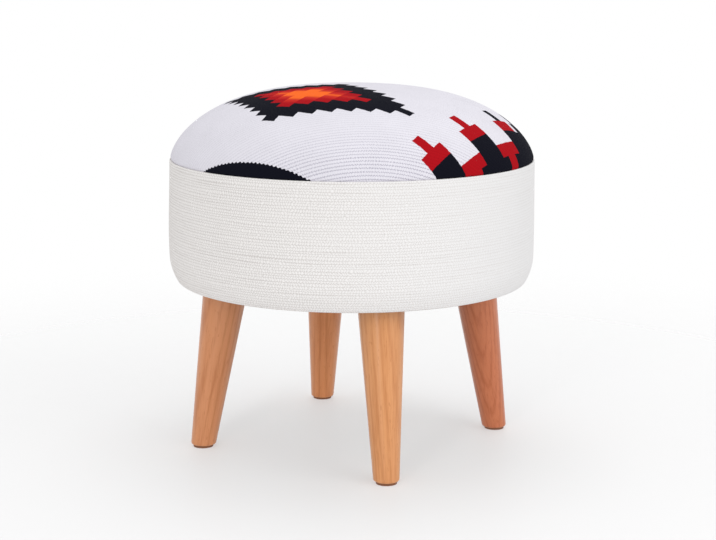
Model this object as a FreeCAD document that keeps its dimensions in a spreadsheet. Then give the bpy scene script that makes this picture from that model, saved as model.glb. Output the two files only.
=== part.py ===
"""Round pouf: a padded drum with a domed seat, standing on four splayed legs that screw off.

Millimetres, +Z up. The origin is on the floor under the middle of the drum, and the legs stand on the axes.
"""
import FreeCAD
import Part
import math
import os
import Sketcher
from FreeCAD import Placement, Rotation, Vector

SIZES = [
    ("seat_dia", 380, "outside diameter of the side band"),
    ("band_height", 127, "lowest cloth to the seam"),
    ("crown_rise", 75, "seam to the top of the dome"),
    ("crown_radius", 450, "radius of the dome over the middle of the seat"),
    ("crown_angle", 16, "half angle of that crown, in degrees"),
    ("cover_thick", 1.5, "kilim cloth of the top"),
    ("band_thick", 1.2, "cloth of the side band"),
    ("wadding_thick", 6, "wadding under the cover"),
    ("padding_thick", 8, "padding under the side band"),
    ("layer_gap", 0.3, "room between two soft layers"),
    ("wall_thick", 3, "bent board round the drum"),
    ("board_fit", 0.2, "room between the boards and the wall"),
    ("boxing_height", 30, "straight edge of the foam, seam to seat deck"),
    ("deck_thick", 12, "board under the foam"),
    ("base_thick", 18, "board that takes the legs"),
    ("edge_roll", 4.5, "radius of the lower edge of the cloth"),
    ("edge_lean", 27, "angle where that edge meets the long curve above it, in degrees"),
    ("hem_width", 17, "cloth turned under the base board"),
    ("dust_thick", 0.8, "dust cover"),
    ("dust_lap", 11, "dust cover over the hem"),
    ("leg_height", 173, "wooden leg, foot to top"),
    ("leg_top_dia", 47, "leg across its axis at the top"),
    ("leg_foot_dia", 26, "leg across its axis at the foot"),
    ("leg_splay", 8.8, "lean of the leg's axis, in degrees"),
    ("leg_inset", 32.5, "side of the drum to the leg's edge, at the top"),
    ("leg_spare", 10, "length of the turned cone that is cut away at each end"),
    ("foot_round", 2, "rounded edge of the foot"),
    ("washer_dia", 16, "washer between leg and dust cover"),
    ("washer_thick", 1.6, "thickness of that washer"),
    ("stud_dia", 8, "hanger bolt"),
    ("stud_depth", 28, "hanger bolt in the leg"),
    ("stud_tip", 1, "chamfer on the bolt's upper end"),
    ("point_height", 5, "tapered end of bolts, screws and nails in the wood"),
    ("pin_fit", 0.05, "radial room round bolts, screws and nails"),
    ("stud_room", 1, "radial room round the bolt in cloth"),
    ("nut_flange_dia", 22, "tee nut flange"),
    ("nut_flange_thick", 1.5, "thickness of that flange"),
    ("nut_barrel_dia", 10, "tee nut barrel"),
    ("nut_barrel_length", 11, "length of that barrel"),
    ("prong_length", 7, "tee nut prong"),
    ("prong_width", 3, "width of a prong"),
    ("prong_thick", 1.2, "thickness of a prong"),
    ("prong_count", 4, "prongs on a tee nut"),
    ("glide_dia", 21, "glide pad"),
    ("glide_thick", 2.5, "thickness of that pad"),
    ("nail_dia", 2, "glide nail"),
    ("nail_length", 13, "nail above the pad"),
    ("nail_head_dia", 6, "nail head"),
    ("nail_head_thick", 0.8, "thickness of the nail head"),
    ("nail_sink", 0.6, "nail head above the floor"),
    ("post_side", 40, "square post between the boards"),
    ("post_inset", 17, "edge of the boards to the post"),
    ("screw_dia", 4, "wood screw"),
    ("screw_head_dia", 8, "countersunk head"),
    ("screw_length", 40, "length of a screw"),
    ("screw_spread", 10, "middle of the post to a screw"),
    ("staple_crown", 10, "outside width of a staple"),
    ("staple_leg", 10, "length of a staple"),
    ("staple_wire", 0.6, "thickness of its wire"),
    ("staple_width", 1.2, "width of its wire"),
    ("staple_inset", 3, "edge of a cloth to its staples"),
    ("hem_staples", 24, "staples in the hem"),
    ("dust_staples", 16, "staples in the dust cover"),
    ("wall_staples", 16, "staples in each edge of the wall"),
]

# How a sketch numbers its origin, its axes and the two ends of a line or arc
ORIGIN_POINT = (-1, 1)
LEVEL_AXIS = -1
UPRIGHT_AXIS = -2
START = 1
END = 2
FULL_TURN = 360

doc = FreeCAD.newDocument("RoundPouf")
sheet = doc.addObject("Spreadsheet::Sheet", "Sizes")
for row, (alias, number, note) in enumerate(SIZES, 1):
    sheet.set(f"A{row}", alias)
    sheet.set(f"B{row}", str(number))
    sheet.setAlias(f"B{row}", alias)
    sheet.set(f"C{row}", note)
doc.recompute()


def size(alias):
    """The sheet's cell of that name, as an expression."""
    return f"Sizes.{alias}"


def value(expression):
    """What an expression comes to now, as a plain number."""
    return float(sheet.evalExpression(expression))


# Radii of the drum's layers, from the cloth inwards
GAP = size("layer_gap")
SEAT_R = f"({size('seat_dia')} / 2)"
BAND_IN_R = f"({SEAT_R} - {size('band_thick')})"
PADDING_R = f"({BAND_IN_R} - {GAP})"
WALL_R = f"({PADDING_R} - {size('padding_thick')} - {GAP})"
WALL_IN_R = f"({WALL_R} - {size('wall_thick')})"
BOARD_R = f"({WALL_IN_R} - {size('board_fit')})"
HEM_R = f"({WALL_R} - {size('hem_width')})"
DUST_R = f"({HEM_R} + {size('dust_lap')})"

# Heights, from the floor up
LEG_Z = size("glide_thick")
LEG_TOP_Z = f"({LEG_Z} + {size('leg_height')})"
DUST_Z = f"({LEG_TOP_Z} + {size('washer_thick')})"
BASE_Z = f"({DUST_Z} + {size('dust_thick')})"
BASE_TOP_Z = f"({BASE_Z} + {size('base_thick')})"
NUT_TOP_Z = f"({BASE_TOP_Z} + {size('nut_flange_thick')})"
LOW_Z = f"({BASE_Z} - {size('band_thick')})"
DUST_LOW_Z = f"({LOW_Z} - {size('dust_thick')})"
SEAM_Z = f"({LOW_Z} + {size('band_height')})"
DECK_TOP_Z = f"({SEAM_Z} - {size('boxing_height')})"
DECK_Z = f"({DECK_TOP_Z} - {size('deck_thick')})"

# Lower edge of the cloth: a long curve from the side, then a tight roll under the board
LEAN = size("edge_lean")
ROLL = size("edge_roll")
SWEEP = f"(({SEAT_R} - {WALL_R} - {ROLL} * cos({LEAN})) / (1 - cos({LEAN})))"
EDGE_TOP_Z = f"({LOW_Z} + {SWEEP} * sin({LEAN}) + {ROLL} * (1 - sin({LEAN})))"
EDGE_MEET_R = f"({SEAT_R} - {SWEEP} * (1 - cos({LEAN})))"
EDGE_MEET_Z = f"({LOW_Z} + {ROLL} * (1 - sin({LEAN})))"

# Dome: a flat crown that runs into a rounder shoulder, down to the seam
CROWN_R = size("crown_radius")
CROWN_A = size("crown_angle")
CROWN_Z = f"({SEAM_Z} + {size('crown_rise')} - {CROWN_R})"
CROWN_BELOW = f"({SEAM_Z} - {CROWN_Z})"
SHOULDER_OUT = (f"((pow({SEAT_R}; 2) + pow({CROWN_BELOW}; 2) - pow({CROWN_R}; 2))"
                f" / (2 * ({SEAT_R} * sin({CROWN_A}) + {CROWN_BELOW} * cos({CROWN_A}) - {CROWN_R})))")
SHOULDER_R = f"({CROWN_R} - {SHOULDER_OUT})"
SHOULDER_X = f"({SHOULDER_OUT} * sin({CROWN_A}))"
SHOULDER_DROP = f"({SEAM_Z} - {CROWN_Z} - {SHOULDER_OUT} * cos({CROWN_A}))"
COVER_DEPTH = size("cover_thick")
WADDING_DEPTH = f"({COVER_DEPTH} + {GAP})"
WADDING_END = f"({WADDING_DEPTH} + {size('wadding_thick')})"
FOAM_DEPTH = f"({WADDING_END} + {GAP})"

# Legs and what holds them
SPLAY = size("leg_splay")
LEG_X = f"({SEAT_R} - {size('leg_inset')} - {size('leg_top_dia')} / 2)"
FOOT_X = f"({LEG_X} + {size('leg_height')} * tan({SPLAY}))"
LEG_LENGTH = f"({size('leg_height')} / cos({SPLAY}))"
STUD_R = f"({size('stud_dia')} / 2)"
STUD_HOLE_R = f"({STUD_R} + {size('pin_fit')})"
STUD_Z = f"({LEG_TOP_Z} - {size('stud_depth')})"
NAIL_HOLE_R = f"({size('nail_dia')} / 2 + {size('pin_fit')})"
NAIL_TOP_Z = f"({LEG_Z} + {size('nail_length')})"
NAIL_NECK_Z = f"({size('nail_sink')} + {size('nail_head_thick')})"
POST_X = f"({BOARD_R} - {size('post_inset')} - {size('post_side')} / 2)"
POST_TURN = 45
STATIONS = {"front": -90, "right": 0, "back": 90, "left": 180}
POST_STATIONS = {"front_right": -45, "back_right": 45, "back_left": 135, "front_left": 225}
STATION_COUNT = str(len(STATIONS))

parts = []


def new_body(label, azimuth=0):
    """A piece of the pouf, turned about the drum's axis to its station."""
    body = doc.addObject("PartDesign::Body", label)
    body.Label = label
    body.AllowCompound = True
    body.Placement = Placement(Vector(), Rotation(Vector(0, 0, 1), azimuth))
    parts.append(body)
    return body


def origin_part(body, role):
    """One of the body's own planes or axes."""
    return next(feature for feature in body.Origin.OriginFeatures if feature.Role == role)


def pin_point(sketch, geometry, end, x, y):
    """Ties one end of a line or arc to two expressions."""
    for kind, expression, line in (("DistanceX", x, UPRIGHT_AXIS), ("DistanceY", y, LEVEL_AXIS)):
        if expression == "0":
            sketch.addConstraint(Sketcher.Constraint("PointOnObject", geometry, end, line))
            continue
        distance = Sketcher.Constraint(kind, *ORIGIN_POINT, geometry, end, value(expression))
        row = sketch.addConstraint(distance)
        sketch.setExpression(f"Constraints[{row}]", expression)


def arc_through(start, end, radius, side):
    """The short arc from start to end with its centre on the left or the right of the way."""
    way = end - start
    left = Vector(-way.y, way.x, 0).normalize()
    reach = math.sqrt(radius ** 2 - (way.Length / 2) ** 2)
    middle = (start + end) * 0.5
    centre = middle + left * (reach if side == "left" else -reach)
    bulge = middle - centre
    top = centre + bulge * (radius / bulge.Length)
    return Part.Arc(start, top, end)


def draw(body, name, corners, axis=None, plane="XZ_Plane", offset=None, turn=0):
    """A closed outline in one of the body's planes, with every corner tied to the sheet.

    A corner is (x, y), or (x, y, radius, side) where the way on to the next corner is an arc. axis is two
    points of a line to turn the outline about. offset lifts the plane and turn swings it about the
    outline's upright.
    """
    sketch = body.newObject("Sketcher::SketchObject", f"{body.Name}_{name}")
    sketch.AttachmentSupport = (origin_part(body, plane), [""])
    sketch.MapMode = "FlatFace"
    sketch.AttachmentOffset = Placement(Vector(), Rotation(Vector(0, 1, 0), turn))
    if offset:
        sketch.setExpression("AttachmentOffset.Base.z", offset)
    points = [Vector(value(corner[0]), value(corner[1]), 0) for corner in corners]
    ends = []
    for number, corner in enumerate(corners):
        start = points[number]
        end = points[(number + 1) % len(corners)]
        if len(corner) == 2:
            row = sketch.addGeometry(Part.LineSegment(start, end), False)
            ends.append((row, START, END))
            continue
        row = sketch.addGeometry(arc_through(start, end, value(corner[2]), corner[3]), False)
        ends.append((row, START, END) if corner[3] == "left" else (row, END, START))
        radius_row = sketch.addConstraint(Sketcher.Constraint("Radius", row, value(corner[2])))
        sketch.setExpression(f"Constraints[{radius_row}]", corner[2])
    for number, corner in enumerate(corners):
        row, first, last = ends[number]
        next_row, next_first, next_last = ends[(number + 1) % len(corners)]
        sketch.addConstraint(Sketcher.Constraint("Coincident", row, last, next_row, next_first))
        pin_point(sketch, row, first, corner[0], corner[1])
    if axis:
        low, high = [Vector(value(x), value(y), 0) for x, y in axis]
        row = sketch.addGeometry(Part.LineSegment(low, high), True)
        pin_point(sketch, row, START, *axis[0])
        pin_point(sketch, row, END, *axis[1])
    return sketch


def upright(x, low, high):
    """An upright line to turn an outline about."""
    return (x, low), (x, high)


def turned(body, name, corners, kind="Revolution", axis=None, turn=0):
    """An outline turned right round, about the drum's axis or a line of its own."""
    sketch = draw(body, name, corners, axis=axis, turn=turn)
    feature = body.newObject(f"PartDesign::{kind}", f"{body.Name}_{name}_turned")
    feature.Profile = sketch
    feature.ReferenceAxis = (sketch, ["Axis0"]) if axis else (origin_part(body, "Z_Axis"), [""])
    feature.Angle = FULL_TURN
    body.Tip = feature
    return feature


def round_the_drum(body, name, features, count):
    """Repeats features round the drum's axis."""
    pattern = body.newObject("PartDesign::PolarPattern", f"{body.Name}_{name}")
    pattern.Originals = features
    pattern.Axis = (origin_part(body, "Z_Axis"), [""])
    pattern.Angle = FULL_TURN
    pattern.setExpression("Occurrences", count)
    body.Tip = pattern
    return pattern


def dome_corners(depth):
    """Seam edge, meeting of shoulder and crown, and top of a dome that lies so deep under the cloth."""
    shoulder = f"({SHOULDER_R} - {depth})"
    crown = f"({CROWN_R} - {depth})"
    edge = (f"({SHOULDER_X} + sqrt(pow({shoulder}; 2) - pow({SHOULDER_DROP}; 2)))", SEAM_Z)
    meet = (f"({crown} * sin({CROWN_A}))", f"({CROWN_Z} + {crown} * cos({CROWN_A}))")
    top = ("0", f"({CROWN_Z} + {crown})")
    return edge, meet, top, shoulder, crown


def dome_shell(label, outer_depth, inner_depth):
    """A layer of the dome between two depths, open at the seam."""
    edge, meet, top, shoulder, crown = dome_corners(outer_depth)
    in_edge, in_meet, in_top, in_shoulder, in_crown = dome_corners(inner_depth)
    turned(new_body(label), "layer", [
        edge + (shoulder, "left"), meet + (crown, "left"), top,
        in_top + (in_crown, "right"), in_meet + (in_shoulder, "right"), in_edge])


def seat_foam():
    """Round foam with a domed top, flat on the seat deck."""
    edge, meet, top, shoulder, crown = dome_corners(FOAM_DEPTH)
    turned(new_body("seat_foam"), "block", [
        ("0", DECK_TOP_Z), (PADDING_R, DECK_TOP_Z), (PADDING_R, SEAM_Z),
        edge + (shoulder, "left"), meet + (crown, "left"), top])


def edge_meet(depth):
    """Where the long curve and the roll of the lower edge meet, so deep under the cloth's face."""
    return (f"({EDGE_MEET_R} - {depth} * cos({LEAN}))", f"({EDGE_MEET_Z} + {depth} * sin({LEAN}))")


def side_band():
    """Cloth round the drum, rolled under the base board and hemmed there."""
    thick = size("band_thick")
    turned(new_body("side_band"), "cloth", [
        (SEAT_R, SEAM_Z), (SEAT_R, EDGE_TOP_Z, SWEEP, "right"),
        edge_meet("0") + (ROLL, "right"), (WALL_R, LOW_Z), (HEM_R, LOW_Z), (HEM_R, BASE_Z),
        (WALL_R, BASE_Z, f"({ROLL} - {thick})", "left"),
        edge_meet(thick) + (f"({SWEEP} - {thick})", "left"), (BAND_IN_R, EDGE_TOP_Z), (BAND_IN_R, SEAM_Z)])


def side_padding():
    """Padding round the wall, under the band."""
    depth = f"({size('band_thick')} + {GAP})"
    foot = edge_meet(depth)
    inner = f"({WALL_R} + {GAP})"
    turned(new_body("side_padding"), "layer", [
        (PADDING_R, DECK_TOP_Z), (PADDING_R, EDGE_TOP_Z, f"({SWEEP} - {depth})", "right"),
        foot, (inner, foot[1]), (inner, DECK_TOP_Z)])


def drum_wall():
    """Thin board bent round the two round boards."""
    turned(new_body("drum_wall"), "ring", [
        (WALL_IN_R, BASE_Z), (WALL_R, BASE_Z), (WALL_R, DECK_TOP_Z), (WALL_IN_R, DECK_TOP_Z)])


def screw_corners(x, head_z, way, room):
    """Half outline of a countersunk screw driven up (1) or down (-1) from the face at head_z."""
    shank = f"({x} + {size('screw_dia')} / 2 + {room})"
    head = f"({x} + {size('screw_head_dia')} / 2 + {room})"
    sign = "+" if way > 0 else "-"
    neck_z = f"({head_z} {sign} ({size('screw_head_dia')} - {size('screw_dia')}) / 2)"
    point_z = f"({head_z} {sign} ({size('screw_length')} - {size('point_height')}))"
    tip_z = f"({head_z} {sign} ({size('screw_length')} + {room}))"
    return [(x, head_z), (head, head_z), (shank, neck_z), (shank, point_z), (x, tip_z)]


def screw_axis(x, head_z):
    """The line that a screw is turned about."""
    return upright(x, head_z, f"({head_z} + {size('screw_length')})")


SCREW_X = {"inner": f"({POST_X} - {size('screw_spread')})", "outer": f"({POST_X} + {size('screw_spread')})"}


def screw_holes(body, head_z, way, turn=0):
    """The two countersunk holes over one post."""
    way_name = "up" if way > 0 else "down"
    room = size("pin_fit")
    return [turned(body, f"{side}_hole_{way_name}", screw_corners(x, head_z, way, room), "Groove",
                   screw_axis(x, head_z), turn) for side, x in SCREW_X.items()]


def screws(label, head_z, way):
    """Two screws for each post, all driven from one board."""
    body = new_body(label, POST_TURN)
    pair = [turned(body, side, screw_corners(x, head_z, way, "0"), axis=screw_axis(x, head_z))
            for side, x in SCREW_X.items()]
    round_the_drum(body, "all", pair, STATION_COUNT)


def seat_deck():
    """Round board under the foam, screwed down to the posts."""
    body = new_body("seat_deck", POST_TURN)
    turned(body, "disc", [("0", DECK_Z), (BOARD_R, DECK_Z), (BOARD_R, DECK_TOP_Z), ("0", DECK_TOP_Z)])
    round_the_drum(body, "holes", screw_holes(body, DECK_TOP_Z, -1), STATION_COUNT)


def base_board():
    """Round board that takes the tee nuts, screwed up into the posts."""
    body = new_body("base_board")
    turned(body, "disc", [("0", BASE_Z), (BOARD_R, BASE_Z), (BOARD_R, BASE_TOP_Z), ("0", BASE_TOP_Z)])
    edge = f"({LEG_X} + {size('nut_barrel_dia')} / 2 + {size('pin_fit')})"
    nut_hole = turned(body, "nut_hole", [
        (LEG_X, BASE_Z), (edge, BASE_Z), (edge, BASE_TOP_Z), (LEG_X, BASE_TOP_Z)],
        "Groove", upright(LEG_X, BASE_Z, BASE_TOP_Z))
    round_the_drum(body, "nut_holes", [nut_hole], STATION_COUNT)
    round_the_drum(body, "screw_holes", screw_holes(body, BASE_Z, 1, POST_TURN), STATION_COUNT)


def post(label, azimuth):
    """Square post between the boards, drilled for two screws at each end."""
    body = new_body(label, azimuth)
    half = f"{size('post_side')} / 2"
    low_x = f"({POST_X} - {half})"
    high_x = f"({POST_X} + {half})"
    sketch = draw(body, "side", [
        (low_x, BASE_TOP_Z), (high_x, BASE_TOP_Z), (high_x, DECK_Z), (low_x, DECK_Z)])
    pad = body.newObject("PartDesign::Pad", f"{label}_block")
    pad.Profile = sketch
    pad.SideType = "Symmetric"
    pad.setExpression("Length", size("post_side"))
    body.Tip = pad
    screw_holes(body, DECK_TOP_Z, -1)
    screw_holes(body, BASE_Z, 1)


def staples(label, count, plane, offset, outline):
    """A ring of staples, each a flat U of wire."""
    body = new_body(label)
    sketch = draw(body, "wire", outline, plane=plane, offset=offset)
    pad = body.newObject("PartDesign::Pad", f"{label}_one")
    pad.Profile = sketch
    pad.SideType = "Symmetric"
    pad.setExpression("Length", size("staple_width"))
    body.Tip = pad
    round_the_drum(body, "all", [pad], count)


HALF_CROWN = f"({size('staple_crown')} / 2)"
HALF_SPAN = f"({HALF_CROWN} - {size('staple_wire')})"


def staples_up(label, count, x, z):
    """Staples driven up from a cloth face at height z."""
    crown_z = f"({z} + {size('staple_wire')})"
    tip_z = f"({z} + {size('staple_leg')})"
    staples(label, count, "YZ_Plane", x, [
        (f"-{HALF_CROWN}", z), (HALF_CROWN, z), (HALF_CROWN, tip_z), (HALF_SPAN, tip_z), (HALF_SPAN, crown_z),
        (f"-{HALF_SPAN}", crown_z), (f"-{HALF_SPAN}", tip_z), (f"-{HALF_CROWN}", tip_z)])


def staples_in(label, z):
    """Staples driven through the wall into the edge of a board."""
    crown_x = f"({WALL_R} - {size('staple_wire')})"
    tip_x = f"({WALL_R} - {size('staple_leg')})"
    staples(label, size("wall_staples"), "XY_Plane", z, [
        (WALL_R, f"-{HALF_CROWN}"), (WALL_R, HALF_CROWN), (tip_x, HALF_CROWN), (tip_x, HALF_SPAN),
        (crown_x, HALF_SPAN), (crown_x, f"-{HALF_SPAN}"), (tip_x, f"-{HALF_SPAN}"),
        (tip_x, f"-{HALF_CROWN}")])


def dust_cover():
    """Cloth under the base board, which steps down over the hem and lets the bolts through."""
    body = new_body("dust_cover")
    step_in = f"({HEM_R} - {size('dust_thick')})"
    turned(body, "cloth", [
        ("0", DUST_Z), (step_in, DUST_Z), (step_in, DUST_LOW_Z), (DUST_R, DUST_LOW_Z), (DUST_R, LOW_Z),
        (HEM_R, LOW_Z), (HEM_R, BASE_Z), ("0", BASE_Z)])
    side = f"({LEG_X} + {STUD_R} + {size('stud_room')})"
    hole = turned(body, "hole", [(LEG_X, DUST_Z), (side, DUST_Z), (side, BASE_Z), (LEG_X, BASE_Z)],
                  "Groove", upright(LEG_X, DUST_Z, BASE_Z))
    round_the_drum(body, "holes", [hole], STATION_COUNT)


def tee_nut(place, azimuth):
    """Flanged nut let into the base board from above, with prongs pressed into the wood."""
    body = new_body(f"tee_nut_{place}", azimuth)
    bore = f"({LEG_X} + {STUD_HOLE_R})"
    barrel = f"({LEG_X} + {size('nut_barrel_dia')} / 2)"
    flange = f"({LEG_X} + {size('nut_flange_dia')} / 2)"
    low_z = f"({BASE_TOP_Z} - {size('nut_barrel_length')})"
    turned(body, "nut", [
        (bore, low_z), (barrel, low_z), (barrel, BASE_TOP_Z), (flange, BASE_TOP_Z), (flange, NUT_TOP_Z),
        (bore, NUT_TOP_Z)], axis=upright(LEG_X, low_z, NUT_TOP_Z))
    inner = f"({flange} - {size('prong_thick')})"
    tip_z = f"({BASE_TOP_Z} - {size('prong_length')})"
    sketch = draw(body, "prong", [(inner, BASE_TOP_Z), (flange, BASE_TOP_Z), (flange, tip_z)],
                  axis=upright(LEG_X, low_z, NUT_TOP_Z))
    prong = body.newObject("PartDesign::Pad", f"tee_nut_{place}_prong")
    prong.Profile = sketch
    prong.SideType = "Symmetric"
    prong.setExpression("Length", size("prong_width"))
    pattern = body.newObject("PartDesign::PolarPattern", f"tee_nut_{place}_prongs")
    pattern.Originals = [prong]
    pattern.Axis = (sketch, ["Axis0"])
    pattern.Angle = FULL_TURN
    pattern.setExpression("Occurrences", size("prong_count"))
    body.Tip = pattern


def leg(place, azimuth):
    """Turned cone on a splayed axis, cut level at both ends and drilled for bolt and nail."""
    body = new_body(f"leg_{place}", azimuth)
    spare = size("leg_spare")
    taper = f"(({size('leg_top_dia')} - {size('leg_foot_dia')}) / 2 / {LEG_LENGTH})"
    ends = []
    for x, z, radius, sign in ((FOOT_X, LEG_Z, f"{size('leg_foot_dia')} / 2", -1),
                               (LEG_X, LEG_TOP_Z, f"{size('leg_top_dia')} / 2", 1)):
        on_x = f"({x} - ({sign}) * {spare} * sin({SPLAY}))"
        on_z = f"({z} + ({sign}) * {spare} * cos({SPLAY}))"
        reach = f"({radius} + ({sign}) * {spare} * {taper})"
        side = (f"({on_x} + {reach} * cos({SPLAY}))", f"({on_z} + {reach} * sin({SPLAY}))")
        ends.append(((on_x, on_z), side))
    (foot, foot_side), (top, top_side) = ends
    turned(body, "cone", [foot, foot_side, top_side, top], axis=(foot, top))
    hole = f"({LEG_X} + {STUD_HOLE_R})"
    point_z = f"({STUD_Z} + {size('point_height')})"
    wide = f"({LEG_X} + {size('leg_top_dia')})"
    above = f"({LEG_TOP_Z} + 2 * {spare})"
    turned(body, "top_cut", [
        (LEG_X, f"({STUD_Z} - {size('pin_fit')})"), (hole, point_z), (hole, LEG_TOP_Z), (wide, LEG_TOP_Z),
        (wide, above), (LEG_X, above)], "Groove", upright(LEG_X, STUD_Z, above))
    hole = f"({FOOT_X} + {NAIL_HOLE_R})"
    point_z = f"({NAIL_TOP_Z} - {size('point_height')})"
    wide = f"({FOOT_X} + {size('leg_foot_dia')})"
    below = f"({LEG_Z} - 2 * {spare})"
    cut = turned(body, "foot_cut", [
        (FOOT_X, f"({NAIL_TOP_Z} + {size('pin_fit')})"), (hole, point_z), (hole, LEG_Z), (wide, LEG_Z),
        (wide, below), (FOOT_X, below)], "Groove", upright(FOOT_X, below, NAIL_TOP_Z))
    doc.recompute()
    foot_r = value(f"{size('leg_foot_dia')} / 2")
    rim = [f"Edge{number}" for number, edge in enumerate(cut.Shape.Edges, 1)
           if edge.BoundBox.ZMax < value(NAIL_TOP_Z) and edge.BoundBox.XLength > foot_r]
    fillet = body.newObject("PartDesign::Fillet", f"leg_{place}_foot_round")
    fillet.Base = (cut, rim)
    fillet.setExpression("Radius", size("foot_round"))
    body.Tip = fillet


def hanger_bolt(place, azimuth):
    """Bolt with a pointed end in the leg and a chamfered end in the tee nut."""
    side = f"({LEG_X} + {STUD_R})"
    tip = size("stud_tip")
    turned(new_body(f"hanger_bolt_{place}", azimuth), "rod", [
        (LEG_X, STUD_Z), (side, f"({STUD_Z} + {size('point_height')})"), (side, f"({NUT_TOP_Z} - {tip})"),
        (f"({side} - {tip})", NUT_TOP_Z), (LEG_X, NUT_TOP_Z)], axis=upright(LEG_X, STUD_Z, NUT_TOP_Z))


def washer(place, azimuth):
    """Flat washer between the leg and the drum."""
    bore = f"({LEG_X} + {STUD_HOLE_R})"
    rim = f"({LEG_X} + {size('washer_dia')} / 2)"
    turned(new_body(f"washer_{place}", azimuth), "ring", [
        (bore, LEG_TOP_Z), (rim, LEG_TOP_Z), (rim, DUST_Z), (bore, DUST_Z)],
        axis=upright(LEG_X, LEG_TOP_Z, DUST_Z))


def glide_pad(place, azimuth):
    """Round pad under the foot, counterbored for its nail."""
    rim = f"({FOOT_X} + {size('glide_dia')} / 2)"
    head = f"({FOOT_X} + {size('nail_head_dia')} / 2 + {size('pin_fit')})"
    hole = f"({FOOT_X} + {NAIL_HOLE_R})"
    turned(new_body(f"glide_pad_{place}", azimuth), "disc", [
        (head, "0"), (rim, "0"), (rim, LEG_Z), (hole, LEG_Z), (hole, NAIL_NECK_Z), (head, NAIL_NECK_Z)],
        axis=upright(FOOT_X, "0", LEG_Z))


def glide_nail(place, azimuth):
    """Nail that holds the glide pad."""
    head = f"({FOOT_X} + {size('nail_head_dia')} / 2)"
    side = f"({FOOT_X} + {size('nail_dia')} / 2)"
    sink = size("nail_sink")
    turned(new_body(f"glide_nail_{place}", azimuth), "rod", [
        (FOOT_X, sink), (head, sink), (head, NAIL_NECK_Z), (side, NAIL_NECK_Z),
        (side, f"({NAIL_TOP_Z} - {size('point_height')})"), (FOOT_X, NAIL_TOP_Z)],
        axis=upright(FOOT_X, sink, NAIL_TOP_Z))


dome_shell("top_cover", "0", COVER_DEPTH)
dome_shell("top_wadding", WADDING_DEPTH, WADDING_END)
seat_foam()
side_band()
side_padding()
drum_wall()
seat_deck()
base_board()
for place, azimuth in POST_STATIONS.items():
    post(f"post_{place}", azimuth)
screws("deck_screws", DECK_TOP_Z, -1)
screws("base_screws", BASE_Z, 1)
staples_in("wall_staples_upper", f"({DECK_Z} + {size('deck_thick')} / 2)")
staples_in("wall_staples_lower", f"({BASE_Z} + {size('base_thick')} / 2)")
staples_up("hem_staples", size("hem_staples"), f"({HEM_R} + {size('staple_inset')})", LOW_Z)
dust_cover()
staples_up("dust_staples", size("dust_staples"), f"({DUST_R} - {size('staple_inset')})", DUST_LOW_Z)
for place, azimuth in STATIONS.items():
    for make in (tee_nut, hanger_bolt, washer, leg, glide_pad, glide_nail):
        make(place, azimuth)

doc.recompute()
for item in doc.Objects:
    if "Invalid" in item.State or "Error" in item.State:
        raise RuntimeError(f"{item.Label} failed: {item.State}")
for body in parts:
    if body.Shape.isNull() or not body.Shape.isValid():
        raise RuntimeError(f"{body.Label} has no valid shape")

os.makedirs("parts", exist_ok=True)
for body in parts:
    body.Shape.exportStep(f"parts/{body.Label}.step")
    box = body.Shape.BoundBox
    print(f"{body.Label}: {len(body.Shape.Solids)} solids, {body.Shape.Volume / 1000:.2f} cm3, "
          f"z {box.ZMin:.2f} to {box.ZMax:.2f}")
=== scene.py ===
"""Looks of the round kilim pouf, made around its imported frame.

Metres, in the frame's own axes: +Z up, the origin on the floor under the middle of the drum.
"""
import math

import bpy
import numpy as np
from bpy.props import FloatProperty, FloatVectorProperty, PointerProperty
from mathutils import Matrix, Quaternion, Vector


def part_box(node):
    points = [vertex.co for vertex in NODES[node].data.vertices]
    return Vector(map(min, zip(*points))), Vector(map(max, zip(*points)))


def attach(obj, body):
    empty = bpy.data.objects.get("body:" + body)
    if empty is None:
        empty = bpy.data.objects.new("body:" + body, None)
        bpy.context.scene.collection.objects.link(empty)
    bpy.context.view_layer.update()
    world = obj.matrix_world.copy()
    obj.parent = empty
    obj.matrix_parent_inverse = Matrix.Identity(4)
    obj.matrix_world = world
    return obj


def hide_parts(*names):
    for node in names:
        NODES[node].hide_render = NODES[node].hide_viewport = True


bl_info = {
    "name": "Round Kilim Pouf",
    "version": (1, 0, 0),
    "blender": (4, 5, 0),
    "location": "View3D > Sidebar > Pouf",
    "description": "Dresses a packed pouf in cloth, wood and steel on a pale stage",
    "category": "Object",
}

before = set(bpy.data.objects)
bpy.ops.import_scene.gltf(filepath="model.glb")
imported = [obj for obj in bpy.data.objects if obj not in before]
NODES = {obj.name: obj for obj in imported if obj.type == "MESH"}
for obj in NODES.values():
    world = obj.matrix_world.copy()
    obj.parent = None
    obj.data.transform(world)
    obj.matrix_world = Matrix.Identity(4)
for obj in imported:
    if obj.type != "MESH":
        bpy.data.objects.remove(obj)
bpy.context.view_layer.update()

# Bearing of each leg about the drum's axis, in degrees
STATIONS = {"front": -90.0, "right": 0.0, "back": 90.0, "left": 180.0}
POST_PLACES = ("front_right", "back_right", "back_left", "front_left")
BAND_LOW, BAND_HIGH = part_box("side_band")
WALL_LOW, WALL_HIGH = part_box("drum_wall")
BOLT_LOW, BOLT_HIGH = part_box("hanger_bolt_right")
LEG_LOW, LEG_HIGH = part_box("leg_right")
GLIDE_LOW, GLIDE_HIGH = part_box("glide_pad_right")
SEAM_RADIUS = BAND_HIGH.x
SEAM_Z = BAND_HIGH.z
LOW_Z = BAND_LOW.z
BASE_Z = WALL_LOW.z
DECK_TOP_Z = WALL_HIGH.z
WALL_RADIUS = WALL_HIGH.x
DUST_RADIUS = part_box("dust_cover")[1].x
CROWN_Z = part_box("top_cover")[1].z
BOLT_X = (BOLT_LOW.x + BOLT_HIGH.x) / 2
BOLT_RADIUS = BOLT_HIGH.x - BOLT_X
FOOT_X = (GLIDE_LOW.x + GLIDE_HIGH.x) / 2
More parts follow.
